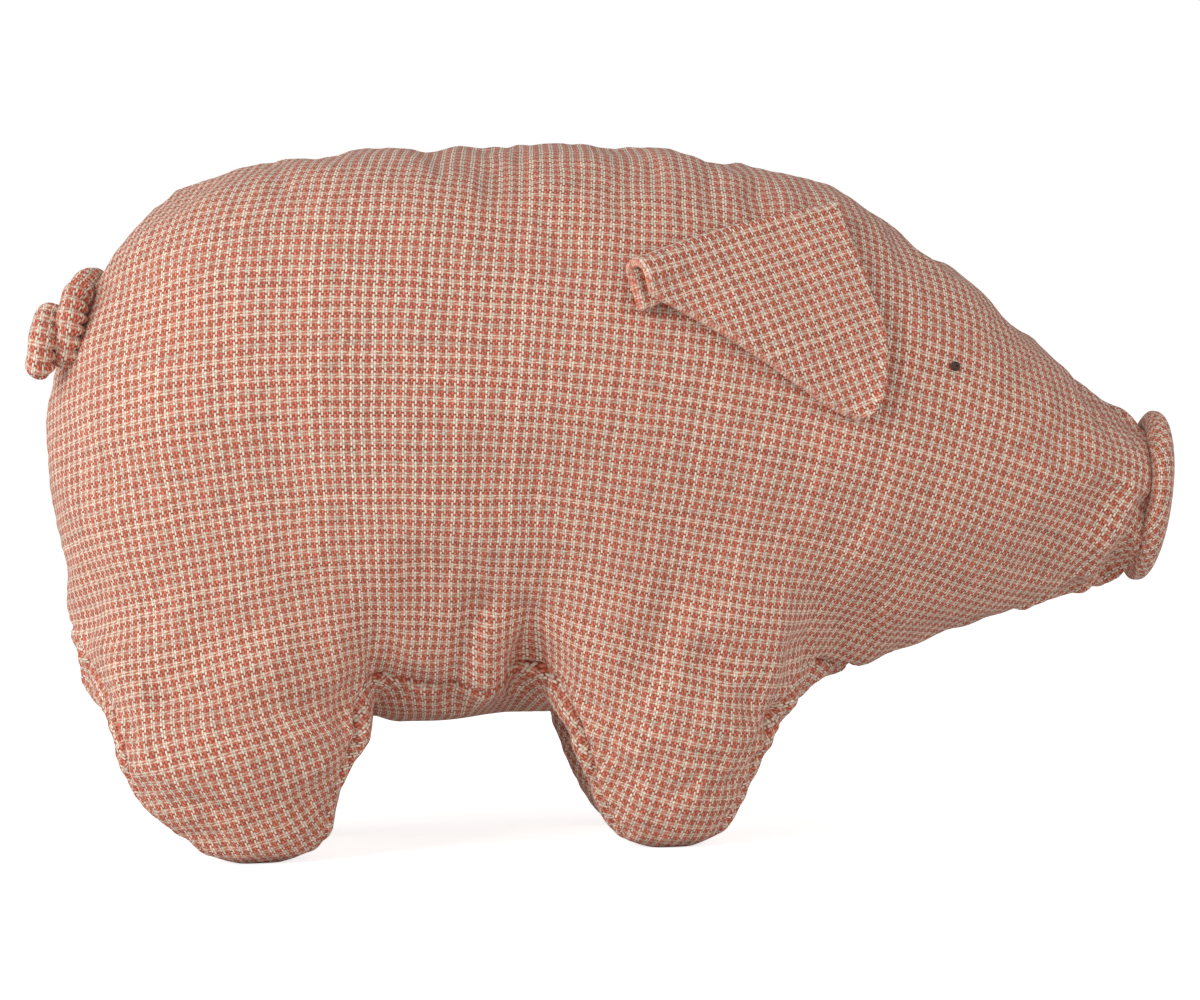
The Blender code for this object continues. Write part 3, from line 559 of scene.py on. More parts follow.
def gingham(name, turn=0.0, edge_mix=0.0):
    """Plain weave of two cream and two red yarns in both directions, on the cloth's UV map.

    Upright yarns are counted by u and level yarns by v; the upright one lies on top where the
    two counts add to an even number. Each float is an oval hill, height = 1 - (across/a)^2 -
    (along/b)^2 from its own middle, and the higher of the two crossing hills is seen."""
    look = bpy.context.scene.pig_cloth
    sheet, cloth = fabric_sheet(name)
    if turn:
        cloth = sheet.node(
            "ShaderNodeMapping", {"vector_type": "POINT"},
            {"Vector": cloth, "Rotation": (0.0, 0.0, turn)})
    parts = sheet.node("ShaderNodeSeparateXYZ", {}, {"Vector": cloth})
    drift = sheet.parted(sheet.noise(cloth, DRIFT_WAVES))
    wobble = sheet.parted(sheet.noise(cloth, WOBBLE_WAVES, 0.0))

    def counted(axis, spacing, channel):
        count = parts.output(axis) / spacing + FAR_YARNS
        count = count + drift.output(channel) * DRIFT_YARNS
        return count + wobble.output(channel) * WOBBLE_YARNS

    def tinted(count, seed, slubs, red, cream):
        """A yarn's colour, uneven from yarn to yarn and along each yarn."""
        by_yarn, waves, along, base = slubs
        is_cream = sheet.math("MODULO", count, CHECK_YARNS) < 1.5
        tone = sheet.chance(count + seed) * by_yarn + sheet.noise(cloth, waves, 1.0) * along + base
        return sheet.mix(
            1.0, sheet.mix(is_cream, colour(red), colour(cream)),
            sheet.blended(tone, tone, tone), "MULTIPLY")

    u = counted("X", look.yarn_across, "Red")
    v = counted("Y", look.yarn_down, "Green")
    column, row = sheet.math("FLOOR", u), sheet.math("FLOOR", v)
    across = sheet.math("ABSOLUTE", u - column - 0.5)
    down = sheet.math("ABSOLUTE", v - row - 0.5)
    even = sheet.math("MODULO", column + row, 2.0) < 0.5
    warp_along = 1.0 - down + even * (down * 2.0 - 1.0)
    weft_along = across + even * (1.0 - across * 2.0)
    warp_height = 1.0 - (across / look.warp_width) ** 2.0 - (warp_along / look.warp_float) ** 2.0
    weft_height = WEFT_RISE - (down / look.weft_width) ** 2.0
    weft_height = weft_height - (weft_along / look.weft_float) ** 2.0
    warp = tinted(column, 0.0, WARP_SLUBS, look.red_warp, look.cream_warp)
    # The level yarns' colours carry painted shade for lying lower in the weave
    weft = tinted(row, 0.37, WEFT_SLUBS, look.shaded_red_weft, look.shaded_cream_weft)
    yarn = sheet.mix(weft_height < warp_height, weft, warp)
    # Along the marked turned edge the check gives way to an unpatterned mix of the two warp
    # colours, lighter than the check
    if edge_mix:
        edge_share = sheet.node("ShaderNodeAttribute", {"attribute_name": "turned_edge"}).output("Fac")
        place = sheet.node("ShaderNodeTexCoord").output("Object")
        ends = sheet.noise(place, EDGE_MIX_WAVES, 2.0) * EDGE_MIX_SLOPE - EDGE_MIX_START
        share = sheet.math("MINIMUM", sheet.math("MAXIMUM", ends, 0.0), 1.0)
        edge_colour = sheet.mix(share, colour(look.red_warp), colour(look.cream_warp))
        yarn = sheet.mix(edge_share * edge_mix, yarn, edge_colour)

    height = sheet.math("MAXIMUM", sheet.math("MAXIMUM", warp_height, weft_height), 0.0)
    fibre = sheet.noise(cloth, FIBRE_WAVES, 1.0)
    # Painted shade and highlight: darker in the recesses between floats, a little lighter than the
    # yarn on their crowns, times the fibre's random tone
    tone = height ** RECESS_SHADE_POWER * RECESS_SHADE_RISE + RECESS_SHADE_BASE
    tone = tone * (fibre * FIBRE_SHADE + (1 - FIBRE_SHADE / 2))
    recess_shade = sheet.blended(tone ** RED_SHADE_POWER, tone, tone ** BLUE_SHADE_POWER)
    sheet.set(
        Base_Color=sheet.mix(1.0, yarn, recess_shade, "MULTIPLY"), Roughness=0.92,
        Specular_IOR_Level=0.18, Sheen_Weight=0.12, Sheen_Roughness=0.6,
        Normal=sheet.bump(height + fibre * FIBRE_RISE, WEAVE_BUMP, 0.6))
    return sheet.owner


def dark_thread():
    """Twisted embroidery thread: fine slanting strands around its length, their raised crowns
    lightened by a painted highlight.
    """
    look = bpy.context.scene.pig_cloth
    sheet, cloth = fabric_sheet("dark_thread")
    parts = sheet.node("ShaderNodeSeparateXYZ", {}, {"Vector": cloth})
    strands = sheet.math("SINE", parts.output("X") * 5200.0 + parts.output("Y") * 6000.0)
    sheet.set(
        Base_Color=sheet.mix(
            strands * 0.25 + 0.25, colour(look.thread), colour(look.thread_highlight)),
        Roughness=0.6, Normal=sheet.bump(strands, 0.0001, 0.5))
    return sheet.owner


def fibre_filling():
    """White fibre, matted into soft lumps, with painted shade in the hollows between them."""
    look = bpy.context.scene.pig_cloth
    sheet = Sheet(bpy.data.materials.new("fibre_filling"))
    lumps = sheet.noise(sheet.node("ShaderNodeTexCoord").output("Object"), 160.0, 5.0, 0.7)
    sheet.set(
        Base_Color=sheet.mix(lumps, colour(look.filling_hollow_shade), colour(look.filling)),
        Roughness=1.0, Normal=sheet.bump(lumps, 0.001, 0.8))
    return sheet.owner


# Meshes

def values_of(items, name, width=1, kind=np.float64):
    """One property of all of a collection's items, as an array of rows."""
    values = np.empty(len(items) * width, dtype=kind)
    items.foreach_get(name, values)
    return values.reshape(-1, width) if width > 1 else values


def point_array(mesh):
    return values_of(mesh.vertices, "co", 3)


def corner_array(mesh):
    return values_of(mesh.loops, "vertex_index", kind=np.int32)


def face_array(mesh):
    """The faces' corners (m, 4), all faces being squares."""
    return corner_array(mesh).reshape(-1, 4)


def mark_array(mesh):
    return values_of(mesh.polygons, "material_index", kind=np.int32)


def flat_array(mesh):
    """The corners' places on the cloth (m, 4, 2)."""
    return values_of(mesh.uv_layers["cloth"].data, "uv", 2).reshape(-1, 4, 2)


def unit(vectors):
    return vectors / np.linalg.norm(vectors, axis=-1, keepdims=True)


def travel(path):
    """The distance along a path to each of its points."""
    return np.concatenate([[0.0], np.cumsum(np.linalg.norm(np.diff(path, axis=0), axis=1))])


def move_points(mesh, points):
    mesh.vertices.foreach_set("co", points.ravel())
    mesh.update()


def made_mesh(name, points, faces, uv=None, marks=None):
    """A mesh from points (n, 3), faces and, for each point, a place on the cloth (n, 2)."""
    mesh = bpy.data.meshes.new(name)
    mesh.from_pydata(points, [], faces)
    if uv is not None:
        mesh.uv_layers.new(name="cloth").data.foreach_set("uv", uv[corner_array(mesh)].ravel())
    if marks is not None:
        mesh.polygons.foreach_set("material_index", marks)
    mesh.update()
    return mesh


def linked(name, mesh):
    item = bpy.data.objects.new(name, mesh)
    bpy.context.scene.collection.objects.link(item)
    return item


def evaluated(item):
    bpy.context.view_layer.update()
    graph = bpy.context.evaluated_depsgraph_get()
    return bpy.data.meshes.new_from_object(
        item.evaluated_get(graph), preserve_all_data_layers=True, depsgraph=graph)


def subdivide(item, levels):
    smoothing = item.modifiers.new("smoothing", "SUBSURF")
    smoothing.levels = smoothing.render_levels = levels
    return smoothing


def outward(mesh, weld=0.0):
    """Turns all faces of a closed mesh outwards, once points that lie together are one."""
    bm = bmesh.new()
    bm.from_mesh(mesh)
    if weld:
        bmesh.ops.remove_doubles(bm, verts=bm.verts, dist=weld)
    bmesh.ops.recalc_face_normals(bm, faces=bm.faces)
    bm.to_mesh(mesh)
    bm.free()


def finished(name, mesh, material, body, nodes, levels=0, bend=None):
    """A named, smooth piece with its finish, riding on its body, or, when bend is given, left free
    with its transform baked in.
    """
    item = linked(name, mesh)
    mesh.materials.append(material)
    mesh.shade_smooth()
    if levels:
        subdivide(item, levels)
    if bend:
        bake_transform(item)
    else:
        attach(item, body)
    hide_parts(*nodes)
    return item


def ring_tube(count, sides):
    """Squares between count rings of sides points, each ring closed."""
    ring, side = np.meshgrid(np.arange(count - 1), np.arange(sides), indexing="ij")
    after = (side + 1) % sides
    return np.stack([
        ring * sides + side, ring * sides + after,
        (ring + 1) * sides + after, (ring + 1) * sides + side], axis=2).reshape(-1, 4)


def fans(side, after, middle):
    """Triangles that close a ring of points round a middle point."""
    return np.stack([side, after, np.full(len(side), middle)], axis=1).tolist()


def around(sides):
    """Numbers of a ring's points and of the points after them."""
    side = np.arange(sides)
    return side, (side + 1) % sides


def full_circle(sides):
    return np.arange(sides) / sides * math.tau


def swept(path, first, second, radii):
    """A closed tube: rings of radii (n, sides) round a path, in two directions square to it."""
    count, sides = radii.shape
    turns = full_circle(sides)
    rings = (
        path[:, None] + first[:, None] * (radii * np.cos(turns))[:, :, None]
        + second[:, None] * (radii * np.sin(turns))[:, :, None])
    side, after = around(sides)
    last = (count - 1) * sides
    faces = ring_tube(count, sides).tolist() + fans(after, side, count * sides)
    faces += fans(last + side, last + after, count * sides + 1)
    return np.vstack([rings.reshape(-1, 3), path[:1], path[-1:]]), faces


def swept_flat(radius, travelled, sides):
    """The cloth's places for swept(): the turn at a radius, and the distance travelled."""
    round_it = full_circle(sides)[None] * radius
    flat = np.stack(np.broadcast_arrays(round_it, travelled[:, None]), axis=2)
    return np.vstack([flat.reshape(-1, 2), flat[0, :1], flat[-1, :1]])


# Cover

def ring_points(stations):
    """Points (n, 8, 3) of each station's right half, from the back seam to the belly.

    Upper points lie at turns t from the top: across = half width * |sin t|^(2/p) and
    up = centre + half height * |cos t|^(2/p). Lower ones lie at shares of the seam's distance."""
    place, top, bottom, wide, seam, power, flare = (column[:, None] for column in stations.T)
    half_width = wide * BODY_WIDTH / 2
    centre = (top + bottom) / 2 * BODY_HEIGHT
    half_height = (top - bottom) / 2 * BODY_HEIGHT
    turns = UPPER_TURN_SHARES[None] * math.pi
    upper = half_width * np.abs(np.sin(turns)) ** (2 / power)
    high = centre + half_height * np.sign(np.cos(turns)) * np.abs(np.cos(turns)) ** (2 / power)
    lower = seam * half_width * UNDER_SHARES[None]
    low = centre - half_height * (1 - (lower / half_width) ** power) ** (1 / power)
    across, up = np.hstack([upper, lower]), np.hstack([high, low])
    along = (place - 0.5 + flare * FLARE_SHARES) * BODY_LENGTH
    along[-1] += math.tan(MUZZLE_TILT) * (up[-1] - centre[-1])
    return np.stack([along, -across, up], axis=2)


def middle_lines(rings):
    """The rump's and the muzzle's middle lines (6, 3), the muzzle bulging past its ring."""
    rump = np.zeros((6, 3))
    rump[:, 0] = (RUMP_SHARES[:, 0] - 0.5) * BODY_LENGTH
    rump[:, 2] = RUMP_SHARES[:, 1] * BODY_HEIGHT
    top, bottom = STATION_SHARES[-1, 1:3] * BODY_HEIGHT
    muzzle = rings[-1, 1:7].copy()
    away = (muzzle[:, 2] - (top + bottom) / 2) / ((top - bottom) / 2)
    place = (STATION_SHARES[-1, 0] - 0.5) * BODY_LENGTH
    lean = math.tan(MUZZLE_TILT) * (muzzle[:, 2] - (top + bottom) / 2)
    muzzle[:, 0] = place + lean + MUZZLE_BULGE * (1 - away * away)
    muzzle[:, 1] = 0.0
    return rump, muzzle


def leg_points(leg, side):
    """A leg's ovals (4, 8, 3) from the top down, and its sole's middle.

    At a turn t the oval lies at length/2 * |cos t|^(2/p) and width/2 * |sin t|^(2/p); the
    points that the seams follow are turned a little to the outer side."""
    station, length, width, shares = leg
    height, long, wide, lean = (column[:, None] for column in shares.T)
    middle = (STATION_SHARES[station + 1, 0] - 0.5) * BODY_LENGTH
    turns = math.pi * (np.arange(8) - 1) / 4
    turns -= SEAM_TURN * np.cos(turns)
    cosine, sine = np.cos(turns), np.sin(turns)
    cosine = np.copysign(np.abs(cosine) ** (2 / LEG_POWER), cosine)
    sine = np.copysign(np.abs(sine) ** (2 / LEG_POWER), sine)
    x = middle + lean * length - long * length / 2 * cosine
    y = side * (LEG_SPREAD / 2 - wide * width / 2 * sine)
    z = np.broadcast_to(height * LEG_HEIGHT, x.shape)
    sole = [[middle + shares[-1, 3] * length, side * LEG_SPREAD / 2, -SOLE_CUT]]
    return np.vstack([np.stack([x, y, z], axis=2).reshape(-1, 3), sole])


def cover_net():
    """The closed control net: points, faces, and for each face the cloth piece it is of."""
    right = ring_points(STATION_SHARES)
    left = right[:, 6:0:-1] * (1, -1, 1)
    trunk = np.concatenate([right, left], axis=1)
    rump, muzzle = middle_lines(right)
    points = [trunk.reshape(-1, 3), rump, muzzle]
    stations, around = trunk.shape[:2]
    rank = np.arange(stations * around).reshape(stations, around)
    i, k = np.meshgrid(np.arange(stations - 1), np.arange(around), indexing="ij")
    after = (k + 1) % around
    squares = np.stack([rank[i, k], rank[i + 1, k], rank[i + 1, after], rank[i, after]], axis=2)
    level = np.where(k < 7, k, 13 - k)
    marks = np.where((level >= 5) & (i <= 7), GUSSET, np.where(k < 7, RIGHT, LEFT))
    kept = ~(np.isin(i, (0, 1, 5, 6)) & np.isin(level, (4, 5)))
    faces, cloths = squares[kept].tolist(), marks[kept].tolist()
    count = rank.size
    for ring, first, tail_end in ((rank[0], count, True), (rank[-1], count + 6, False)):
        for side, order in ((RIGHT, list(range(8))), (LEFT, [0] + list(range(13, 6, -1)))):
            line = list(range(first, first + 6))
            edge = [ring[place] for place in order]
            faces += [[edge[0], edge[1], line[0]]]
            faces += [[edge[j], edge[j + 1], line[j], line[j - 1]] for j in range(1, 6)]
            faces += [[edge[6], edge[7], line[5]]]
            cloths += [side] * 5 + [GUSSET if tail_end else side] * 2
    count += 12
    for leg in (HIND_LEG, FRONT_LEG):
        for side, cloth in ((-1, RIGHT), (1, LEFT)):
            points.append(leg_points(leg, side))
            root = [rank[leg[0] + a, j if side < 0 else 14 - j] for a, j in LEG_ROOT]
            rings = np.vstack([root, count + np.arange(32).reshape(4, 8)])
            inner = np.isin(np.arange(8), (1, 2, 3, 4))
            turned = np.roll(rings, -1, axis=1)
            wall = np.stack([rings[:-1], turned[:-1], turned[1:], rings[1:]], axis=2)
            faces += wall.reshape(-1, 4).tolist()
            cloths += np.tile(np.where(inner, GUSSET, cloth), 4).tolist()
            last = rings[-1]
            faces += [[last[k], last[k + 1], count + 32, last[k - 1]] for k in (0, 2, 4, 6)]
            cloths += [cloth, GUSSET, GUSSET, cloth]
            count += 33
    return np.vstack(points), faces, cloths


def packed(points, faces):
    """Leaves out the points that no face uses."""
    used = sorted({int(index) for face in faces for index in face})
    rank = {index: place for place, index in enumerate(used)}
    return points[used], [[rank[int(index)] for index in face] for face in faces]


def pushed(points):
    """How far the stuffing pushes each point: a bell round each place, the same for all Y."""
    move = np.zeros_like(points)
    for x, z, reach, along, up in PUSHES:
        away = np.hypot(points[:, 0] - x * MM, points[:, 2] - z * MM) / (reach * MM)
        move[:, [0, 2]] += np.exp(-away ** 2)[:, None] * (along * MM, up * MM)
    return move


def smooth_cover():
    """The net subdivided, once its control points make the surface pass through its points."""
    points, faces, cloths = cover_net()
    points, faces = packed(points, faces)
    mesh = made_mesh("cover_net", points, faces, marks=cloths)
    for _ in (RIGHT, LEFT, GUSSET):
        mesh.materials.append(None)
    outward(mesh)
    holder = linked("cover_net", mesh)
    smoothing = subdivide(holder, 1)
    control = points.copy()
    for _ in range(SETTLING_ROUNDS):
        move_points(mesh, control)
        smooth = evaluated(holder)
        control += points - point_array(smooth)[: len(points)]
        bpy.data.meshes.remove(smooth)
    move_points(mesh, control)
    smoothing.levels = smoothing.render_levels = COVER_LEVELS
    cover = evaluated(holder)
    bpy.data.objects.remove(holder, do_unlink=True)
    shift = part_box("side_panel_right")[0].x - point_array(cover)[:, 0].min()
    points = point_array(cover) + (shift, 0.0, 0.0)
    move_points(cover, points + pushed(points))
    return cover


def seam_edges(mesh):
    """Edges between two cloth pieces, as pairs of points."""
    faces, marks = face_array(mesh), mark_array(mesh)
    ends = np.stack([faces, np.roll(faces, -1, axis=1)], axis=2).reshape(-1, 2)
    ends.sort(axis=1)
    owner = np.repeat(marks, 4)
    order = np.lexsort((ends[:, 1], ends[:, 0]))
    first, second = order[::2], order[1::2]
    return ends[first[owner[first] != owner[second]]]


def lay_flat(cover):
    """Unwraps each cloth piece and turns it to true size, grain along the body."""
    holder = linked("cover_flat", cover)
    cover.uv_layers.new(name="cloth")
    seams = {tuple(pair) for pair in seam_edges(cover).tolist()}
    for edge in cover.edges:
        edge.use_seam = tuple(sorted(edge.vertices)) in seams
    bpy.context.view_layer.objects.active = holder
    holder.select_set(True)
    bpy.ops.object.mode_set(mode="EDIT")
    bpy.ops.mesh.select_all(action="SELECT")
    bpy.ops.uv.unwrap(method="MINIMUM_STRETCH", margin=0.01, iterations=20)
    bpy.ops.object.mode_set(mode="OBJECT")
    points, faces, marks = point_array(cover), face_array(cover), mark_array(cover)
    uv = flat_array(cover)
    grain = {RIGHT: (0, 2, 1), LEFT: (0, 2, -1), GUSSET: (0, 1, -1)}
    for cloth, (level, upright, side) in grain.items():
        chosen = marks == cloth
        square, flat = points[faces[chosen]], uv[chosen]
        edges = np.roll(square, -1, axis=1) - square
        flats = np.roll(flat, -1, axis=1) - flat
        size = np.median(np.linalg.norm(edges, axis=2) / np.linalg.norm(flats, axis=2))
        face_normals = np.cross(edges[:, 0], edges[:, 1])
        facing = 2 if cloth == GUSSET else 1
        level_faces = np.abs(face_normals[:, facing]) > (
            LEVEL_FACE_SHARE * np.linalg.norm(face_normals, axis=1))
        level_faces &= square[:, :, 2].mean(axis=1) > (0.0 if cloth == GUSSET else 0.05)
        target = edges[level_faces][:, :, [level, upright]].reshape(-1, 2)
        source = flats[level_faces].reshape(-1, 2)
        fit = np.linalg.lstsq(source, target, rcond=None)[0]
        left_part, _, right_part = np.linalg.svd(fit)
        turn = left_part @ right_part
        turned = flat.reshape(-1, 2) @ turn * size
        tilt = GRAIN_TILT * side
        rotation = np.array([[math.cos(tilt), math.sin(tilt)], [-math.sin(tilt), math.cos(tilt)]])
        uv[chosen] = (turned @ rotation).reshape(-1, 4, 2) + cloth
    cover.uv_layers["cloth"].data.foreach_set("uv", uv.ravel())
    holder.select_set(False)
    bpy.data.objects.remove(holder, do_unlink=True)


def stuffed(cover):
    """Blows the cover up from inside with its seams held, then caps how far each point moved."""
    look = bpy.context.scene.pig_cover
    before = point_array(cover)
    holder = linked("cover_stuffed", cover)
    held = holder.vertex_groups.new(name="seams")
    held.add([int(index) for index in np.unique(seam_edges(cover))], 1.0, "REPLACE")
    soles = np.nonzero(before[:, 2] < SOLE_HEIGHT)[0]
    held.add([int(index) for index in soles], 1.0, "REPLACE")
    cloth = holder.modifiers.new("stuffing", "CLOTH")
    settings = cloth.settings
    for name, value in CLOTH_SETTINGS.items():
        setattr(settings, name, value)
    settings.uniform_pressure_force = look.pressure
    settings.shrink_min = -look.spare
    settings.vertex_group_mass = "seams"
    settings.effector_weights.gravity = 0.0
    cloth.collision_settings.use_collision = False
    cloth.point_cache.frame_start, cloth.point_cache.frame_end = 1, CLOTH_STEPS
    for step in range(1, CLOTH_STEPS + 1):
        bpy.context.scene.frame_set(step)
    swollen = evaluated(holder)
    after = point_array(swollen)
    bpy.data.meshes.remove(swollen)
    bpy.context.scene.frame_set(1)
    bpy.data.objects.remove(holder, do_unlink=True)
    move = after - before
    length = np.linalg.norm(move, axis=1, keepdims=True)
    move *= look.swell * np.tanh(length / look.swell) / np.maximum(length, 1e-9)
    move_points(cover, before + move)


def nearest(places, targets, block=2000):
    """For each place, the distance to the nearest target and which one it is."""
    distance, which = np.empty(len(places)), np.empty(len(places), dtype=np.int64)
    for start in range(0, len(places), block):
        part = slice(start, start + block)
        square = ((places[part, None] - targets[None]) ** 2).sum(axis=2)
        which[part] = square.argmin(axis=1)
        distance[part] = np.sqrt(square.min(axis=1))
    return distance, which


def ripple(places, spacing, seed):
    """Smooth pseudo-random waves in space: a sum of sines in fixed directions."""
    chance = np.random.default_rng(seed)
    total = np.zeros(len(places))
    for _ in range(6):
        direction = unit(chance.normal(size=3))
        turn = places @ direction * (math.tau / (spacing * chance.uniform(0.7, 1.5)))
        total += np.sin(turn + chance.uniform(0.0, math.tau))
    return total / 6 ** 0.5


def fold_heights(points, normals):
    """Height of all folds: each is a bell across its line, fading past the line's ends."""
    total = np.zeros(len(points))
    for side, share, shift in ((-1, 1.0, 0.0), (1, LEFT_FOLD_SHARE, LEFT_FOLD_SHIFT)):
        facing = np.clip(normals[:, 1] * side * 1.6 + 0.2, 0.0, 1.0) * (points[:, 1] * side > 0)
        for x0, z0, x1, z1, width, height in FOLDS:
            start = np.array([x0 + shift, z0]) * MM
            line = np.array([x1 - x0, z1 - z0]) * MM
            away = points[:, [0, 2]] - start
            along = np.clip(away @ line / (line @ line), 0.0, 1.0)
            distance = np.linalg.norm(away - along[:, None] * line, axis=1)
            total += share * height * MM * np.exp(-(distance / (width * MM)) ** 2) * facing
    return total


def evened(vectors, mesh, rounds):
    """Unit vectors at a mesh's points, averaged with those at the neighbouring points."""
    first, second = values_of(mesh.edges, "vertices", 2, np.int32).T
    for _ in range(rounds):
        total = vectors.copy()
        for k in range(3):
            total[:, k] += np.bincount(first, vectors[second, k], len(vectors))
            total[:, k] += np.bincount(second, vectors[first, k], len(vectors))
        vectors = unit(total)
    return vectors


def sew(cover):
    """Presses the grooves and puckers of the seams and the folds into the finer cover."""
    look = bpy.context.scene.pig_cover
    holder = linked("cover_sewn", cover)
    subdivide(holder, 1)
    fine = evaluated(holder)
    bpy.data.objects.remove(holder, do_unlink=True)
    points = point_array(fine)
    normals = evened(values_of(fine.vertices, "normal", 3), fine, NORMAL_ROUNDS)
    seam = np.unique(seam_edges(fine))
    distance, which = nearest(points, points[seam])
    closest = points[seam][which]
    waves = sum(rise * ripple(closest, length, seed) for length, rise, seed in PUCKER_WAVES)
    height = look.pucker * waves * np.exp(-distance / PUCKER_REACH)
    height += RIDGE_RISE * np.exp(-((distance - RIDGE_PLACE) / RIDGE_WIDTH) ** 2)
    height -= look.groove * np.exp(-(distance / look.groove_width) ** GROOVE_POWER)
    height += sum(rise * ripple(points, length, seed) for length, rise, seed in DENT_WAVES)
    height += fold_heights(points, normals)
    resting = np.clip(points[:, 2] / RESTING_HEIGHT, 0.0, 1.0)
    points = points + normals * (height * resting)[:, None]
    points[:, 2] = np.maximum(points[:, 2], 0.0)
    move_points(fine, points)
    return fine, normals


def panel(fine, cloth, name):
    """One cloth piece of the cover: its outer face, its inner face and the rim between."""
    thickness = bpy.context.scene.pig_cloth.thickness
    points, normals = point_array(fine), FINE["normals"]
    chosen = mark_array(fine) == cloth
    faces, uv = face_array(fine)[chosen], flat_array(fine)[chosen]
    used, local = np.unique(faces, return_inverse=True)
    local = local.reshape(faces.shape)
    flat = np.empty((len(used), 2))
    flat[local.ravel()] = uv.reshape(-1, 2)
    outer = points[used].copy()
    ends = np.stack([local, np.roll(local, -1, axis=1)], axis=2).reshape(-1, 2)
    code = np.sort(ends, axis=1) @ np.array([len(used), 1])
    _, place, times = np.unique(code, return_index=True, return_counts=True)
    rim = ends[place[times == 1]]
    edge = np.unique(rim)
    middles = outer[local].mean(axis=1)
    inward, count = np.zeros_like(outer), np.zeros(len(used))
    np.add.at(inward, local.ravel(), np.repeat(middles, 4, axis=0))
    np.add.at(count, local.ravel(), 1)
    step = inward[edge] / count[edge][:, None] - outer[edge]
    outer[edge] += unit(step) * SEAM_GAP / 2
    inner = outer - thickness * normals[used]
    inner[:, 2] = np.maximum(inner[:, 2], SOLE_LINING)
    total = len(used)
    wall = np.stack([rim[:, 1], rim[:, 0], rim[:, 0] + total, rim[:, 1] + total], axis=1)
    squares = np.vstack([local, local[:, ::-1] + total, wall])
    mesh = made_mesh(
        f"{name}_cloth", np.vstack([outer, inner]), squares.tolist(), np.vstack([flat, flat]))
    material = gingham(f"gingham_{name}")
    piece = finished(f"{name}_cloth", mesh, material, "body", [name])


def fine_cover():
    """The finished cover surface, made once and shared by the pieces that lie on it."""
    if not FINE:
        cover = smooth_cover()
        lay_flat(cover)
        stuffed(cover)
        FINE["mesh"], FINE["normals"] = sew(cover)
        points = point_array(FINE["mesh"])
        FINE["tree"] = BVHTree.FromPolygons(points.tolist(), face_array(FINE["mesh"]).tolist())
    return FINE["mesh"]


def tucked(points, depth):
    """Moves the points that lie less than most of the depth under the cover further in."""
    for _ in range(TUCK_ROUNDS):
        for index, point in enumerate(points):
            place, normal, _, _ = FINE["tree"].find_nearest(Vector(point))
            under = (place - Vector(point)).dot(normal)
            if under < depth * TUCK_SHARE:
                points[index] -= np.array(normal) * (depth - under)
    return points


class PIG_OT_stuffing(bpy.types.Operator):
    """Fills the cover with fibre"""
    bl_idname = "pig.stuffing"
    bl_label = "Stuffing"

    def execute(self, context):
        fine = fine_cover()
        depth = context.scene.pig_cloth.thickness + SEAM_GAP
        points = point_array(fine)
        slack = np.clip((points[:, :1] - MUZZLE_START) / MUZZLE_REACH, 0.0, 1.0)
        points -= depth * (1 + MUZZLE_SLACK * slack) * FINE["normals"]
        points[:, 2] = np.maximum(points[:, 2], depth)
        points = tucked(points, depth)
        mesh = made_mesh("stuffing", points, face_array(fine).tolist())
        piece = finished("stuffing", mesh, fibre_filling(), "body", FILLINGS)
        return {"FINISHED"}


class PIG_OT_cover(bpy.types.Operator):
    """Sews the two side panels and the belly gusset round the stuffing"""
    bl_idname = "pig.cover"
    bl_label = "Sewn cover"

    def execute(self, context):
        fine = fine_cover()
        for cloth, name in (
            (RIGHT, "side_panel_right"), (LEFT, "side_panel_left"), (GUSSET, "belly_gusset"),
        ):
            panel(fine, cloth, name)
        return {"FINISHED"}


# Snout

def disc_outline(inset, low, high, steps):
    """The snout's outline between two turns from its front middle to its back middle.

    Across = radius * sin(t)^(2/p) and up = rise * |cos t|^(2/p), the rise differing at the
    front and at the back; inset shrinks all three lengths."""
    turns = np.linspace(low, high, steps)
    cosine = np.cos(turns)
    rise = np.where(cosine > 0, SNOUT_FRONT_RISE - inset, -(SNOUT_BACK_RISE - inset))
    across = (SNOUT_RADIUS - inset) * np.clip(np.sin(turns), 0.0, 1.0) ** (2 / SNOUT_POWER)
    return across, rise * np.abs(cosine) ** (2 / SNOUT_POWER)


def spun(profile_across, profile_up, sides, lumps=0.0):
    """Points of a profile turned round its axis, its first point on the axis, with soft lumps.

    The cloth's place is the turn at the distance travelled along the profile."""
    turns = full_circle(sides)
    across, up = profile_across[:, None], profile_up[:, None]
    wave = 1 + lumps * (np.sin(3 * turns + 0.6) + 0.7 * np.sin(7 * turns + 2.0))[None]
    travelled = travel(np.stack([profile_across, profile_up], axis=1))[:, None]
    points = np.stack([
        across * wave * np.cos(turns), across * wave * np.sin(turns),
        np.broadcast_to(up, (len(up), sides))], axis=2)
    flat = np.stack([travelled * np.cos(turns), travelled * np.sin(turns)], axis=2)
    return points, flat


def shell_mesh(name, outer, inner, outer_flat, inner_flat):
    """A closed bowl of cloth between an outer and an inner spun surface, joined at the rim."""
    rows, sides = outer.shape[:2]
    points = np.vstack([
        part for face in (outer, inner) for part in (face[0, :1], face[1:].reshape(-1, 3))])
    flat = np.vstack([
        part for face in (outer_flat, inner_flat)
        for part in (face[0, :1], face[1:].reshape(-1, 2))])
    block = (rows - 1) * sides + 1
    grid = ring_tube(rows - 1, sides) + 1
    side, after = around(sides)
    last = 1 + (rows - 2) * sides
    wall = np.stack([last + side, last + block + side, last + block + after, last + after], axis=1)
    faces = grid.tolist() + fans(side + 1, after + 1, 0) + (grid[:, ::-1] + block).tolist()
    faces += fans(after + 1 + block, side + 1 + block, block) + wall.tolist()
    mesh = made_mesh(name, points, faces, flat)
    outward(mesh)
    return mesh


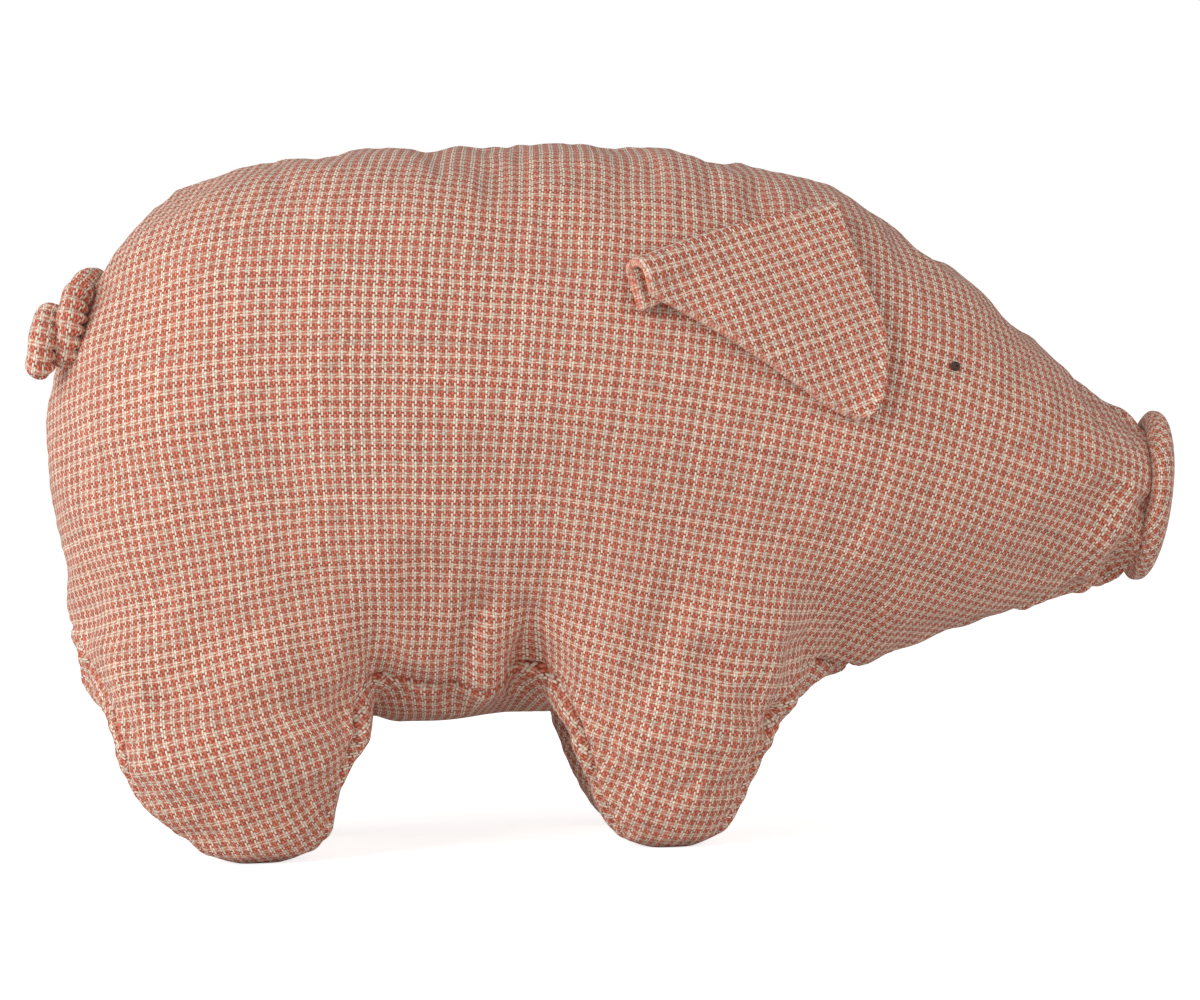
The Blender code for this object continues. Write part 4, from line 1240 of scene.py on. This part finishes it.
def snout_place():
    """The transform from the disc's own axes to its seat on the muzzle."""
    axis = Vector((math.cos(MUZZLE_TILT), 0.0, -math.sin(MUZZLE_TILT)))
    front_low, front_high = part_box("snout_front_disc")
    back_low, back_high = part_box("snout_back_disc")
    middle = (Vector(map(min, front_low, back_low)) + Vector(map(max, front_high, back_high))) / 2
    middle -= axis * (SNOUT_FRONT_RISE - SNOUT_BACK_RISE) / 2 - axis * SNOUT_AHEAD
    middle += Vector((math.sin(MUZZLE_TILT), 0.0, math.cos(MUZZLE_TILT))) * SNOUT_ABOVE
    return Matrix.Translation(middle) @ axis.to_track_quat("Z", "Y").to_matrix().to_4x4()


class PIG_OT_snout(bpy.types.Operator):
    """Makes the padded snout disc of two cloth discs and wadding"""
    bl_idname = "pig.snout"
    bl_label = "Snout"

    def execute(self, context):
        thickness = context.scene.pig_cloth.thickness
        place = snout_place()
        material = gingham("gingham_snout", turn=SNOUT_GRAIN)
        for node, low, high in (
            ("snout_front_disc", 0.0, SNOUT_SEAM),
            ("snout_back_disc", math.pi, SNOUT_SEAM + SNOUT_OVERLAP),
        ):
            outer, outer_flat = spun(
                *disc_outline(0.0, low, high, DISC_STEPS), DISC_SIDES, SNOUT_LUMPS)
            inner, inner_flat = spun(
                *disc_outline(thickness, low, high, DISC_STEPS), DISC_SIDES, SNOUT_LUMPS)
            mesh = shell_mesh(f"{node}_cloth", outer, inner, outer_flat, inner_flat)
            mesh.transform(place)
            piece = finished(f"{node}_cloth", mesh, material, "body", [node])
        inset, middle = thickness + SEAM_GAP, math.pi / 2
        front, front_flat = spun(
            *disc_outline(inset, 0.0, middle, WADDING_STEPS), WADDING_SIDES, SNOUT_LUMPS)
        back, back_flat = spun(
            *disc_outline(inset, math.pi, middle + 0.01, WADDING_STEPS), WADDING_SIDES,
            SNOUT_LUMPS)
        mesh = shell_mesh("snout_stuffing", front, back, front_flat, back_flat)
        mesh.transform(place)
        piece = finished(
            "snout_stuffing", mesh, fibre_filling(), "body", ["snout_wadding"])
        return {"FINISHED"}


# Eyes

def thread_knot(name):
    """A thread wound in a spiral that narrows and rises, its own ends drawn in.

    The tube's first direction is carried along the thread without twist."""
    share = np.linspace(0.0, 1.0, EYE_POINTS)
    turns = share * EYE_TURNS * math.tau
    reach = EYE_REACH - EYE_NARROWING * share ** 1.6
    path = np.stack([
        reach * np.cos(turns), reach * np.sin(turns) * EYE_OVAL,
        EYE_FOOT + EYE_RISE * share], axis=1)
    radii = np.full(EYE_POINTS, EYE_THREAD)
    radii[:3] *= THREAD_END_SHARES
    radii[-3:] *= THREAD_END_SHARES[::-1]
    heading = unit(np.gradient(path, axis=0))
    across = np.empty_like(path)
    across[0] = unit(np.cross(heading[0], (0.3, 0.2, 0.9)))
    for k in range(1, len(path)):
        across[k] = unit(across[k - 1] - heading[k] * (across[k - 1] @ heading[k]))
    points, faces = swept(
        path, across, np.cross(heading, across),
        np.broadcast_to(radii[:, None], (EYE_POINTS, EYE_SIDES)))
    mesh = made_mesh(name, points, faces, swept_flat(radii.mean(), travel(path), EYE_SIDES))
    outward(mesh)
    return mesh


class PIG_OT_eyes(bpy.types.Operator):
    """Makes the two eyes, each a knot of thread wound on itself"""
    bl_idname = "pig.eyes"
    bl_label = "Eyes"

    def execute(self, context):
        fine_cover()
        material = dark_thread()
        for node in ("eye_right", "eye_left"):
            low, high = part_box(node)
            middle = (low + high) / 2
            place, normal, _, _ = FINE["tree"].find_nearest(middle)
            if normal.y * middle.y < 0:
                normal = -normal
            mesh = thread_knot(f"{node}_knot")
            seat = Matrix.Translation(place) @ normal.to_track_quat("Z", "Y").to_matrix().to_4x4()
            mesh.transform(seat)
            finished(f"{node}_knot", mesh, material, "body", [node], levels=1)
        return {"FINISHED"}


# Ears

def ear_frame(side):
    """The ear's own axes: its crease's rear end, and ways along it, down the flap and out.

    They come from the right ear's joint, whose axis is the crease, and mirror to the left."""
    joint = JOINTS["ear_right_fold"]
    along = unit(-np.array(joint["axis"]))
    rear = np.array(joint["pos_m"]) - along * EAR_LENGTH / 2
    level = unit(np.array([along[1], -along[0], 0.0]))
    upright = np.cross(along, level)
    down = upright * math.cos(EAR_LEAN) + level * math.sin(EAR_LEAN)
    mirror = np.array([1.0, -side, 1.0])
    return [vector * mirror for vector in (rear, along, down, np.cross(down, along))]


def in_ear(side, along, down, out):
    """Places (..., 3) from distances along the crease, down the flap and outward."""
    rear, *ways = ear_frame(side)
    return rear + sum(
        far[..., None] * way for far, way in zip(np.broadcast_arrays(along, down, out), ways))


def flap_sides(share):
    """Left and right edge of the flap, as shares of the crease, at shares of the way down."""
    rising = 0.881 * share - 0.142
    left = (rising + np.sqrt(rising ** 2 + 0.0016)) / 2 - 0.045
    right = 0.952 - 0.49 * np.clip(share - 0.6, 0.0, 1.0) ** 1.5
    middle = (left + right) / 2
    closing = np.clip((share - TIP_SHARE) / (1 - TIP_SHARE), 0.0, 1.0)
    half = (right - left) / 2 * np.sqrt(np.clip(1 - closing ** 2.2, 0.0, 1.0))
    return middle - half, middle + half


def ear_levels(along, down, side):
    """How far outward the cover lies under each place of the ear's plane, as a grid."""
    rear, _, _, out = ear_frame(side)
    levels = np.full(along.shape, NO_COVER)
    starts = in_ear(side, along, down, SIGHT_START)
    for index in np.ndindex(along.shape):
        hit, _, _, _ = FINE["tree"].ray_cast(Vector(starts[index]), Vector(-out), SIGHT_LENGTH)
        if hit is not None:
            levels[index] = (np.array(hit) - rear) @ out
    return levels


def softened(levels, rounds):
    """Averages each level with its neighbours, round after round."""
    for _ in range(rounds):
        padded = np.pad(levels, 1, mode="edge")
        levels = (
            padded[:-2, 1:-1] + padded[2:, 1:-1] + padded[1:-1, :-2] + padded[1:-1, 2:]
            + 2 * levels) / 6
    return levels


def fold_radius(along):
    """Radius of the fold's middle surface: wide open at the rear end, tight from mid-way on."""
    look = bpy.context.scene.pig_ears
    tight = look.curl - look.thickness / 2
    share = np.clip(1 - along / (OPEN_SHARE * EAR_LENGTH), 0.0, 1.0)
    return tight + (look.opening - tight) * share * share * (3 - 2 * share)


def sag(along):
    """How far the crease hangs below the hinge line, most at its loose rear end."""
    share = np.clip(1 - along / EAR_LENGTH, 0.0, 1.05)
    return SAG_FRONT + SAG_REAR * share ** SAG_POWER


def ear_flap(side):
    """The folded flap: a closed band of cloth carried from under the fold, round it and down.

    Down the path the middle surface turns half a circle about the crease and then follows the
    flap, which lies over the cover; at the open end it first hangs down behind the flap and
    turns forward. Across it, the band's two faces close in a round rim."""
    look = bpy.context.scene.pig_ears
    before = LIP_ROWS + CURL_ROWS
    share = np.linspace(0.0, 1.0, FLAP_ROWS) ** 0.92
    low, high = flap_sides(np.minimum(share, 0.995))
    turns = full_circle(FLAP_COLUMNS * 2)
    across = -np.sign(np.cos(turns)) * np.abs(np.cos(turns)) ** RIM_POWER
    upper = np.sign(np.sin(turns))

    under = np.clip(np.linspace(1.0, 0.0, before) * 2, 0.0, 1.0)
    under = low[0] + (UNDER_SHARE - low[0]) * under * under * (3 - 2 * under)
    low_edge = np.concatenate([under, low]) * EAR_LENGTH
    high_edge = np.concatenate([np.full(before, high[0]), high]) * EAR_LENGTH
    along = (low_edge + high_edge)[:, None] / 2 + (high_edge - low_edge)[:, None] / 2 * across
    radius = fold_radius(along)
    tight = look.curl - look.thickness / 2
    sunk = radius - tight + sag(along)

    flap = along[before:]
    down_place = share[:, None] * EAR_DEPTH + sunk[before:] * (1 - share[:, None]) ** 3
    cover = ear_levels(flap, down_place, side)
    wanted = np.maximum(cover + EAR_CLEARANCE + look.thickness / 2, tight)
    wanted = softened(wanted, SOFTENING_ROUNDS)
    wanted = np.maximum(wanted, cover + LEAST_CLEARANCE + look.thickness / 2)
    near = np.clip(1 - share / FOLD_FADE_SHARE, 0.0, 1.0)[:, None] ** 2
    level = np.maximum(wanted, tight) + (radius[before:] - tight) * near
    leaving = np.clip(share / FOLD_END_SHARE, 0.0, 1.0)[:, None]
    level = radius[before:] + (level - radius[before:]) * leaving
    across_share = (flap / EAR_LENGTH - low[:, None]) / np.maximum((high - low)[:, None], 0.02)
    across_share = np.clip(across_share, 0.0, 1.0)
    level = level + CORNER_RISE * share[:, None] ** 1.5 * across_share ** 2
    level = level + EDGE_RISE * (1 - across_share) ** 3 * np.sin(math.pi * share[:, None])
    level = level + FLAP_WAVE * np.sin(share[:, None] * 5.2 + across_share * 2.0)

    opened = ((radius - tight) / (look.opening - tight))[:LIP_ROWS]
    hang = np.linspace(1.0, 0.0, LIP_ROWS, endpoint=False)[:, None]
    bend = np.clip(hang * 2 - 1, 0.0, 1.0) * LIP_TURN * opened
    lip = look.lip * opened * np.clip(hang * 2, 0.0, 1.0) + LIP_SPREAD * hang
    lip = lip + radius[:LIP_ROWS] * np.sin(bend)
    turns = np.linspace(math.pi, 0.0, CURL_ROWS, endpoint=False)[:, None]
    curl = radius[LIP_ROWS:before]
    down_before = np.vstack([
        sunk[:LIP_ROWS] + lip, sunk[LIP_ROWS:before] - curl * np.sin(turns)])
    out_before = np.vstack([-radius[:LIP_ROWS] * np.cos(bend), curl * np.cos(turns)])
    resting = ear_levels(along[:before], down_before, side) + STRIP_ROOM + look.thickness / 2
    out_before = np.maximum(out_before, np.minimum(resting, radius[:before] * 0.4))
    down = np.vstack([down_before, down_place])
    out = np.vstack([out_before, level])

    edge = np.minimum(along - low_edge[:, None], high_edge[:, None] - along)
    room = (high_edge - low_edge)[:, None] / 2
    lumps = np.sin(down * 1500.0 + along * 700.0) + np.sin(down * 2900.0 - along * 1300.0 + 1.0)
    bulge = np.exp(-((edge - RIM_WIDTH) / RIM_WIDTH) ** 2) * (1 + RIM_LUMPS * lumps)
    bulge -= STITCH_SHARE * np.exp(-((edge - STITCH_PLACE) / STITCH_WIDTH) ** 2)
    half = look.thickness / 2 + look.rim * bulge
    rounding = 1 - np.clip(1 - edge / RIM_WIDTH, 0.0, 1.0) ** 2
    half = np.minimum(half * np.sqrt(rounding), room)
    slope = np.gradient(level, axis=0) / np.maximum(np.gradient(down_place, axis=0), 1e-5)
    slope = np.clip(slope, -STEEPEST, STEEPEST)
    size = np.sqrt(1 + slope ** 2)
    ones = np.ones_like(radius)
    normal_down = np.vstack([
        0 * ones[:LIP_ROWS], -np.sin(turns) * ones[:CURL_ROWS], -slope / size])
    normal_out = np.vstack([-ones[:LIP_ROWS], np.cos(turns) * ones[:CURL_ROWS], 1 / size])
    steps = np.hypot(np.diff(down, axis=0), np.diff(out, axis=0))
    travelled = np.vstack([np.zeros_like(steps[:1]), np.cumsum(steps, axis=0)])
    travelled += sunk[before] - travelled[before]
    down = down + normal_down * half * upper
    out = out + normal_out * half * upper
    rim = np.exp(-((along - low_edge[:, None]) / RIM_WIDTH) ** 4)
    return in_ear(side, along, down, out), along, travelled, rim


def ear_mesh(name, side):
    """The flap's mesh, its two ends closed, with its turned edge marked."""
    points, along, travelled, rim = ear_flap(side)
    rows, sides = points.shape[:2]
    faces = ring_tube(rows, sides).tolist()
    for first in (0, (rows - 1) * sides):
        faces += [
            [first + k, first + k + 1, first + sides - 2 - k, first + sides - 1 - k]
            for k in range(sides // 2 - 1)]
    flat = np.stack([along, travelled], axis=2)
    mesh = made_mesh(name, points.reshape(-1, 3), faces, flat.reshape(-1, 2))
    edge_share = mesh.attributes.new("turned_edge", "FLOAT", "POINT")
    edge_share.data.foreach_set("value", rim.ravel())
    outward(mesh, weld=0.00001)
    return mesh


def ear_base_mesh(name, side):
    """The strip folded under the crease, from under the fold down to its stitches."""
    look = bpy.context.scene.pig_ears
    rows, columns = STRIP_ROWS, STRIP_COLUMNS
    share = np.linspace(0.0, 1.0, rows)[:, None]
    way = np.linspace(*STRIP_SHARES, columns)[None] * EAR_LENGTH
    along = np.broadcast_to(way, (rows, columns))
    radius = fold_radius(along)
    sunk = radius - (look.curl - look.thickness / 2) + sag(along)
    half = STRIP_THICKNESS / 2
    down = sunk + share * STRIP_DEPTH
    cover = ear_levels(along, down, side)
    under = -(radius + look.thickness / 2 + FOLD_GAP + half)
    sewn = cover[-1:] + half + STRIP_GAP
    level = under + (sewn - under) * share ** 1.5
    level = np.maximum(level, cover + half + STRIP_GAP)
    points = np.vstack([
        in_ear(side, along, down, level + offset).reshape(-1, 3) for offset in (-half, half)])
    i, j = np.meshgrid(np.arange(rows - 1), np.arange(columns - 1), indexing="ij")
    square = np.stack([
        i * columns + j, i * columns + j + 1, (i + 1) * columns + j + 1, (i + 1) * columns + j],
        axis=2).reshape(-1, 4)
    count = rows * columns
    ring = np.concatenate([
        np.arange(columns), np.arange(2, rows) * columns - 1,
        count - 1 - np.arange(columns), np.arange(rows - 2, 0, -1) * columns])
    after = np.roll(ring, -1)
    wall = np.stack([ring, after, after + count, ring + count], axis=1)
    faces = np.vstack([square, square[:, ::-1] + count, wall]).tolist()
    flat = np.stack([along, down], axis=2).reshape(-1, 2)
    mesh = made_mesh(name, points, faces, np.vstack([flat, flat]))
    outward(mesh)
    return mesh


def ear_bend(side):
    """Two points along the ear, meant as the ends of the flap's bend from its sewn edge into the
    lifted ear; finished() reads them only to leave the flap free, and nothing bends it.
    """
    rear, *ways = ear_frame(side)
    way = sum(share * each for share, each in zip(BEND_SHARES, ways))
    per_step = way / (way @ way)
    return [tuple(rear + per_step * place) for place in (BEND_START, BEND_END)]


class PIG_OT_ears(bpy.types.Operator):
    """Folds the two ears over and sews them to the head"""
    bl_idname = "pig.ears"
    bl_label = "Ears"

    def execute(self, context):
        fine_cover()
        for hand, side in (("right", -1), ("left", 1)):
            material = gingham(f"gingham_ear_{hand}", turn=EAR_GRAIN * side, edge_mix=EAR_EDGE_MIX)
            mesh = ear_mesh(f"ear_{hand}_flap", side)
            nodes = [f"ear_{hand}_outer", f"ear_{hand}_lining"]
            piece = finished(
                f"ear_{hand}_flap", mesh, material, f"ear_{hand}", nodes,
                bend=ear_bend(side))
            base = ear_base_mesh(f"ear_{hand}_strip", side)
            piece = finished(
                f"ear_{hand}_strip", base, material, "body", [f"ear_{hand}_base"])
        return {"FINISHED"}


# Tail

def tail_path():
    """From the back seam out along the stub, then down in an open corkscrew.

    The stub is a cubic run between two points with given directions. At n turns the loops lie
    at (-pitch * n, -reach * sin, rise * cos - pitch * n) from their own middle."""
    turns = np.linspace(0.0, TAIL_LOOPS, LOOP_POINTS)
    angles = turns * math.tau
    loops = np.stack([
        -TAIL_PITCH_BACK * turns, -TAIL_LOOP_REACH * np.sin(angles),
        TAIL_LOOP_RISE * np.cos(angles) - TAIL_PITCH_DOWN * turns], axis=1)
    middle_line = np.stack([
        -TAIL_PITCH_BACK * turns, 0 * turns, -TAIL_PITCH_DOWN * turns], axis=1)
    shift = TAIL_START + np.array((-TAIL_BACK, -TAIL_ASIDE, -TAIL_DROP))
    loops, middle_line = loops + shift, middle_line + shift
    heading = unit(loops[1] - loops[0]) * TAIL_PULL
    share = np.linspace(0.0, 1.0, STUB_POINTS, endpoint=False)[:, None]
    falling = 2 * share ** 3 - 3 * share ** 2 + 1
    stub = (
        falling * TAIL_START + (share ** 3 - 2 * share ** 2 + share) * TAIL_OUT * TAIL_PULL
        + (1 - falling) * loops[0] + (share ** 3 - share ** 2) * heading)
    inside = np.linspace(1.0, 0.0, SEWN_POINTS, endpoint=False)[:, None]
    sewn = TAIL_START - TAIL_OUT * TAIL_SEWN_IN * inside
    path = np.vstack([sewn, stub, loops])
    before = np.broadcast_to(middle_line[:1], (SEWN_POINTS + STUB_POINTS, 3))
    centre = np.vstack([before, middle_line])
    travelled = travel(path)
    places = np.linspace(0.0, travelled[-1], TAIL_RINGS)

    def evenly(line):
        return np.stack([np.interp(places, travelled, line[:, k]) for k in range(3)], axis=1)

    return evenly(path), evenly(centre), travelled[-1]


class PIG_OT_tail(bpy.types.Operator):
    """Winds the stuffed tail, gathered along its inner side"""
    bl_idname = "pig.tail"
    bl_label = "Tail"

    def execute(self, context):
        look = context.scene.pig_tail
        path, centre, length = tail_path()
        share = np.linspace(0.0, 1.0, TAIL_RINGS)
        swelling = np.clip(share / TAIL_ROOT_SHARE, 0.0, 1.0)
        radii = TAIL_ROOT_RADIUS + (look.radius - TAIL_ROOT_RADIUS) * swelling * (2 - swelling)
        end = np.clip((1 - share) * length / look.radius, 0.0, 1.0)
        radii = radii * np.sqrt(np.clip(1 - (1 - end) ** 2, TAIL_END_SHARE, 1.0))
        heading = unit(np.gradient(path, axis=0))
        inward = centre - path
        inward = unit(inward - heading * (inward * heading).sum(axis=1, keepdims=True))
        turns = full_circle(TAIL_SIDES)
        gathered = np.clip(np.cos(turns - look.gather_side) * 0.8 + 0.2, 0.0, 1.0)
        gathered = gathered * swelling[:, None]
        travelled = share * length
        wave = np.abs(np.sin(travelled * math.pi / look.gather_spacing)) ** GATHER_POWER
        wave = (wave - GATHER_MIDDLE)[:, None]
        across = radii[:, None] * (1 + look.gathers * gathered * wave)
        across *= 1 + TAIL_UNEVENNESS * np.sin(travelled * 700.0 + 1.0)[:, None]
        points, faces = swept(path, inward, np.cross(heading, inward), across)
        flat = swept_flat(look.radius * TAIL_CLOTH_SHARE, travelled, TAIL_SIDES)
        mesh = made_mesh("tail_cloth", points, faces, flat)
        outward(mesh)
        piece = finished(
            "tail_cloth", mesh, gingham("gingham_tail", turn=TAIL_GRAIN), "tail",
            ["tail_curl"])
        return {"FINISHED"}


# Stage

def area_light(name, place, size, power):
    """A square light that faces the toy."""
    data = bpy.data.lights.new(name, "AREA")
    data.size = size
    data.energy = power
    item = bpy.data.objects.new(name, data)
    item.location = place
    way = Vector(LIGHT_TARGET) - Vector(place)
    item.rotation_euler = way.to_track_quat("-Z", "Y").to_euler()
    bpy.context.scene.collection.objects.link(item)


class PIG_OT_stage(bpy.types.Operator):
    """Sets up the pale floor, the soft light and the camera"""
    bl_idname = "pig.stage"
    bl_label = "Stage"

    def execute(self, context):
        scene = context.scene
        far = FLOOR_SIZE
        corners = [(-far, -far, 0.0), (far, -far, 0.0), (far, far, 0.0), (-far, far, 0.0)]
        floor = linked("floor", made_mesh("floor", np.array(corners), [[0, 1, 2, 3]]))
        sheet = Sheet(bpy.data.materials.new("pale_floor"))
        seen = sheet.node("ShaderNodeLightPath").output("Is Camera Ray")
        sheet.set(
            Base_Color=FLOOR_COLOUR, Roughness=0.9, Specular_IOR_Level=0.0,
            Emission_Color=sheet.mix(seen, BLACK, WHITE), Emission_Strength=FLOOR_GLOW)
        floor.data.materials.append(sheet.owner)

        room = Sheet(bpy.data.worlds.new("pale_room"), "Background")
        room.set(Color=WHITE, Strength=ROOM_LIGHT)
        seen = room.node("ShaderNodeLightPath").output("Is Camera Ray")
        white = room.node("ShaderNodeBackground", {}, {"Color": WHITE, "Strength": 1.0})
        lit = Wire(room, room.shader.outputs[0])
        mixed = room.node("ShaderNodeMixShader", {}, {0: seen, 1: lit, 2: white})
        room.fill(room.tree.nodes["World Output"].inputs["Surface"], mixed)
        scene.world = room.owner
        for light in LIGHTS:
            area_light(*light)

        data = bpy.data.cameras.new("camera")
        data.sensor_width = CAMERA_SENSOR
        data.lens = data.sensor_width * CAMERA_DISTANCE / VIEW_WIDTH
        data.clip_start, data.clip_end = CAMERA_CLIP
        camera = bpy.data.objects.new("camera", data)
        scene.collection.objects.link(camera)
        back_way = Vector((
            math.sin(CAMERA_AZIMUTH) * math.cos(CAMERA_ELEVATION),
            -math.cos(CAMERA_AZIMUTH) * math.cos(CAMERA_ELEVATION),
            math.sin(CAMERA_ELEVATION)))
        camera.location = Vector(CAMERA_TARGET) + back_way * CAMERA_DISTANCE
        camera.rotation_mode = "QUATERNION"
        turn = Matrix.Rotation(CAMERA_ROLL, 3, -back_way)
        look = (-back_way).to_track_quat("-Z", "Y").to_matrix()
        camera.rotation_quaternion = (turn @ look).to_quaternion()
        scene.camera = camera
        scene.view_settings.view_transform = "Standard"
        return {"FINISHED"}


OPERATORS = (
    PIG_OT_stage, PIG_OT_stuffing, PIG_OT_cover, PIG_OT_snout, PIG_OT_eyes, PIG_OT_ears,
    PIG_OT_tail,
)
SETTINGS = {
    "pig_cloth": PigClothSettings, "pig_cover": PigCoverSettings,
    "pig_ears": PigEarSettings, "pig_tail": PigTailSettings,
}


class PIG_PT_panel(bpy.types.Panel):
    """Lists the pieces and their settings"""
    bl_idname = "PIG_PT_panel"
    bl_label = "Plush pig"
    bl_space_type = "VIEW_3D"
    bl_region_type = "UI"
    bl_category = "Pig"

    def draw(self, context):
        for name, group in SETTINGS.items():
            box = self.layout.box()
            box.label(text=group.__doc__)
            for key in group.__annotations__:
                box.prop(getattr(context.scene, name), key)
        for operator in OPERATORS:
            self.layout.operator(operator.bl_idname)


def register():
    for group in SETTINGS.values():
        bpy.utils.register_class(group)
    for name, group in SETTINGS.items():
        setattr(bpy.types.Scene, name, PointerProperty(type=group))
    for made in OPERATORS + (PIG_PT_panel,):
        bpy.utils.register_class(made)


def unregister():
    for made in reversed(OPERATORS + (PIG_PT_panel,)):
        bpy.utils.unregister_class(made)
    for name in SETTINGS:
        delattr(bpy.types.Scene, name)
    for group in reversed(list(SETTINGS.values())):
        bpy.utils.unregister_class(group)


def main():
    register()
    bpy.ops.pig.stage()
    bpy.ops.pig.stuffing()
    bpy.ops.pig.cover()
    bpy.ops.pig.snout()
    bpy.ops.pig.eyes()
    bpy.ops.pig.ears()
    bpy.ops.pig.tail()


if __name__ == "__main__":
    main()
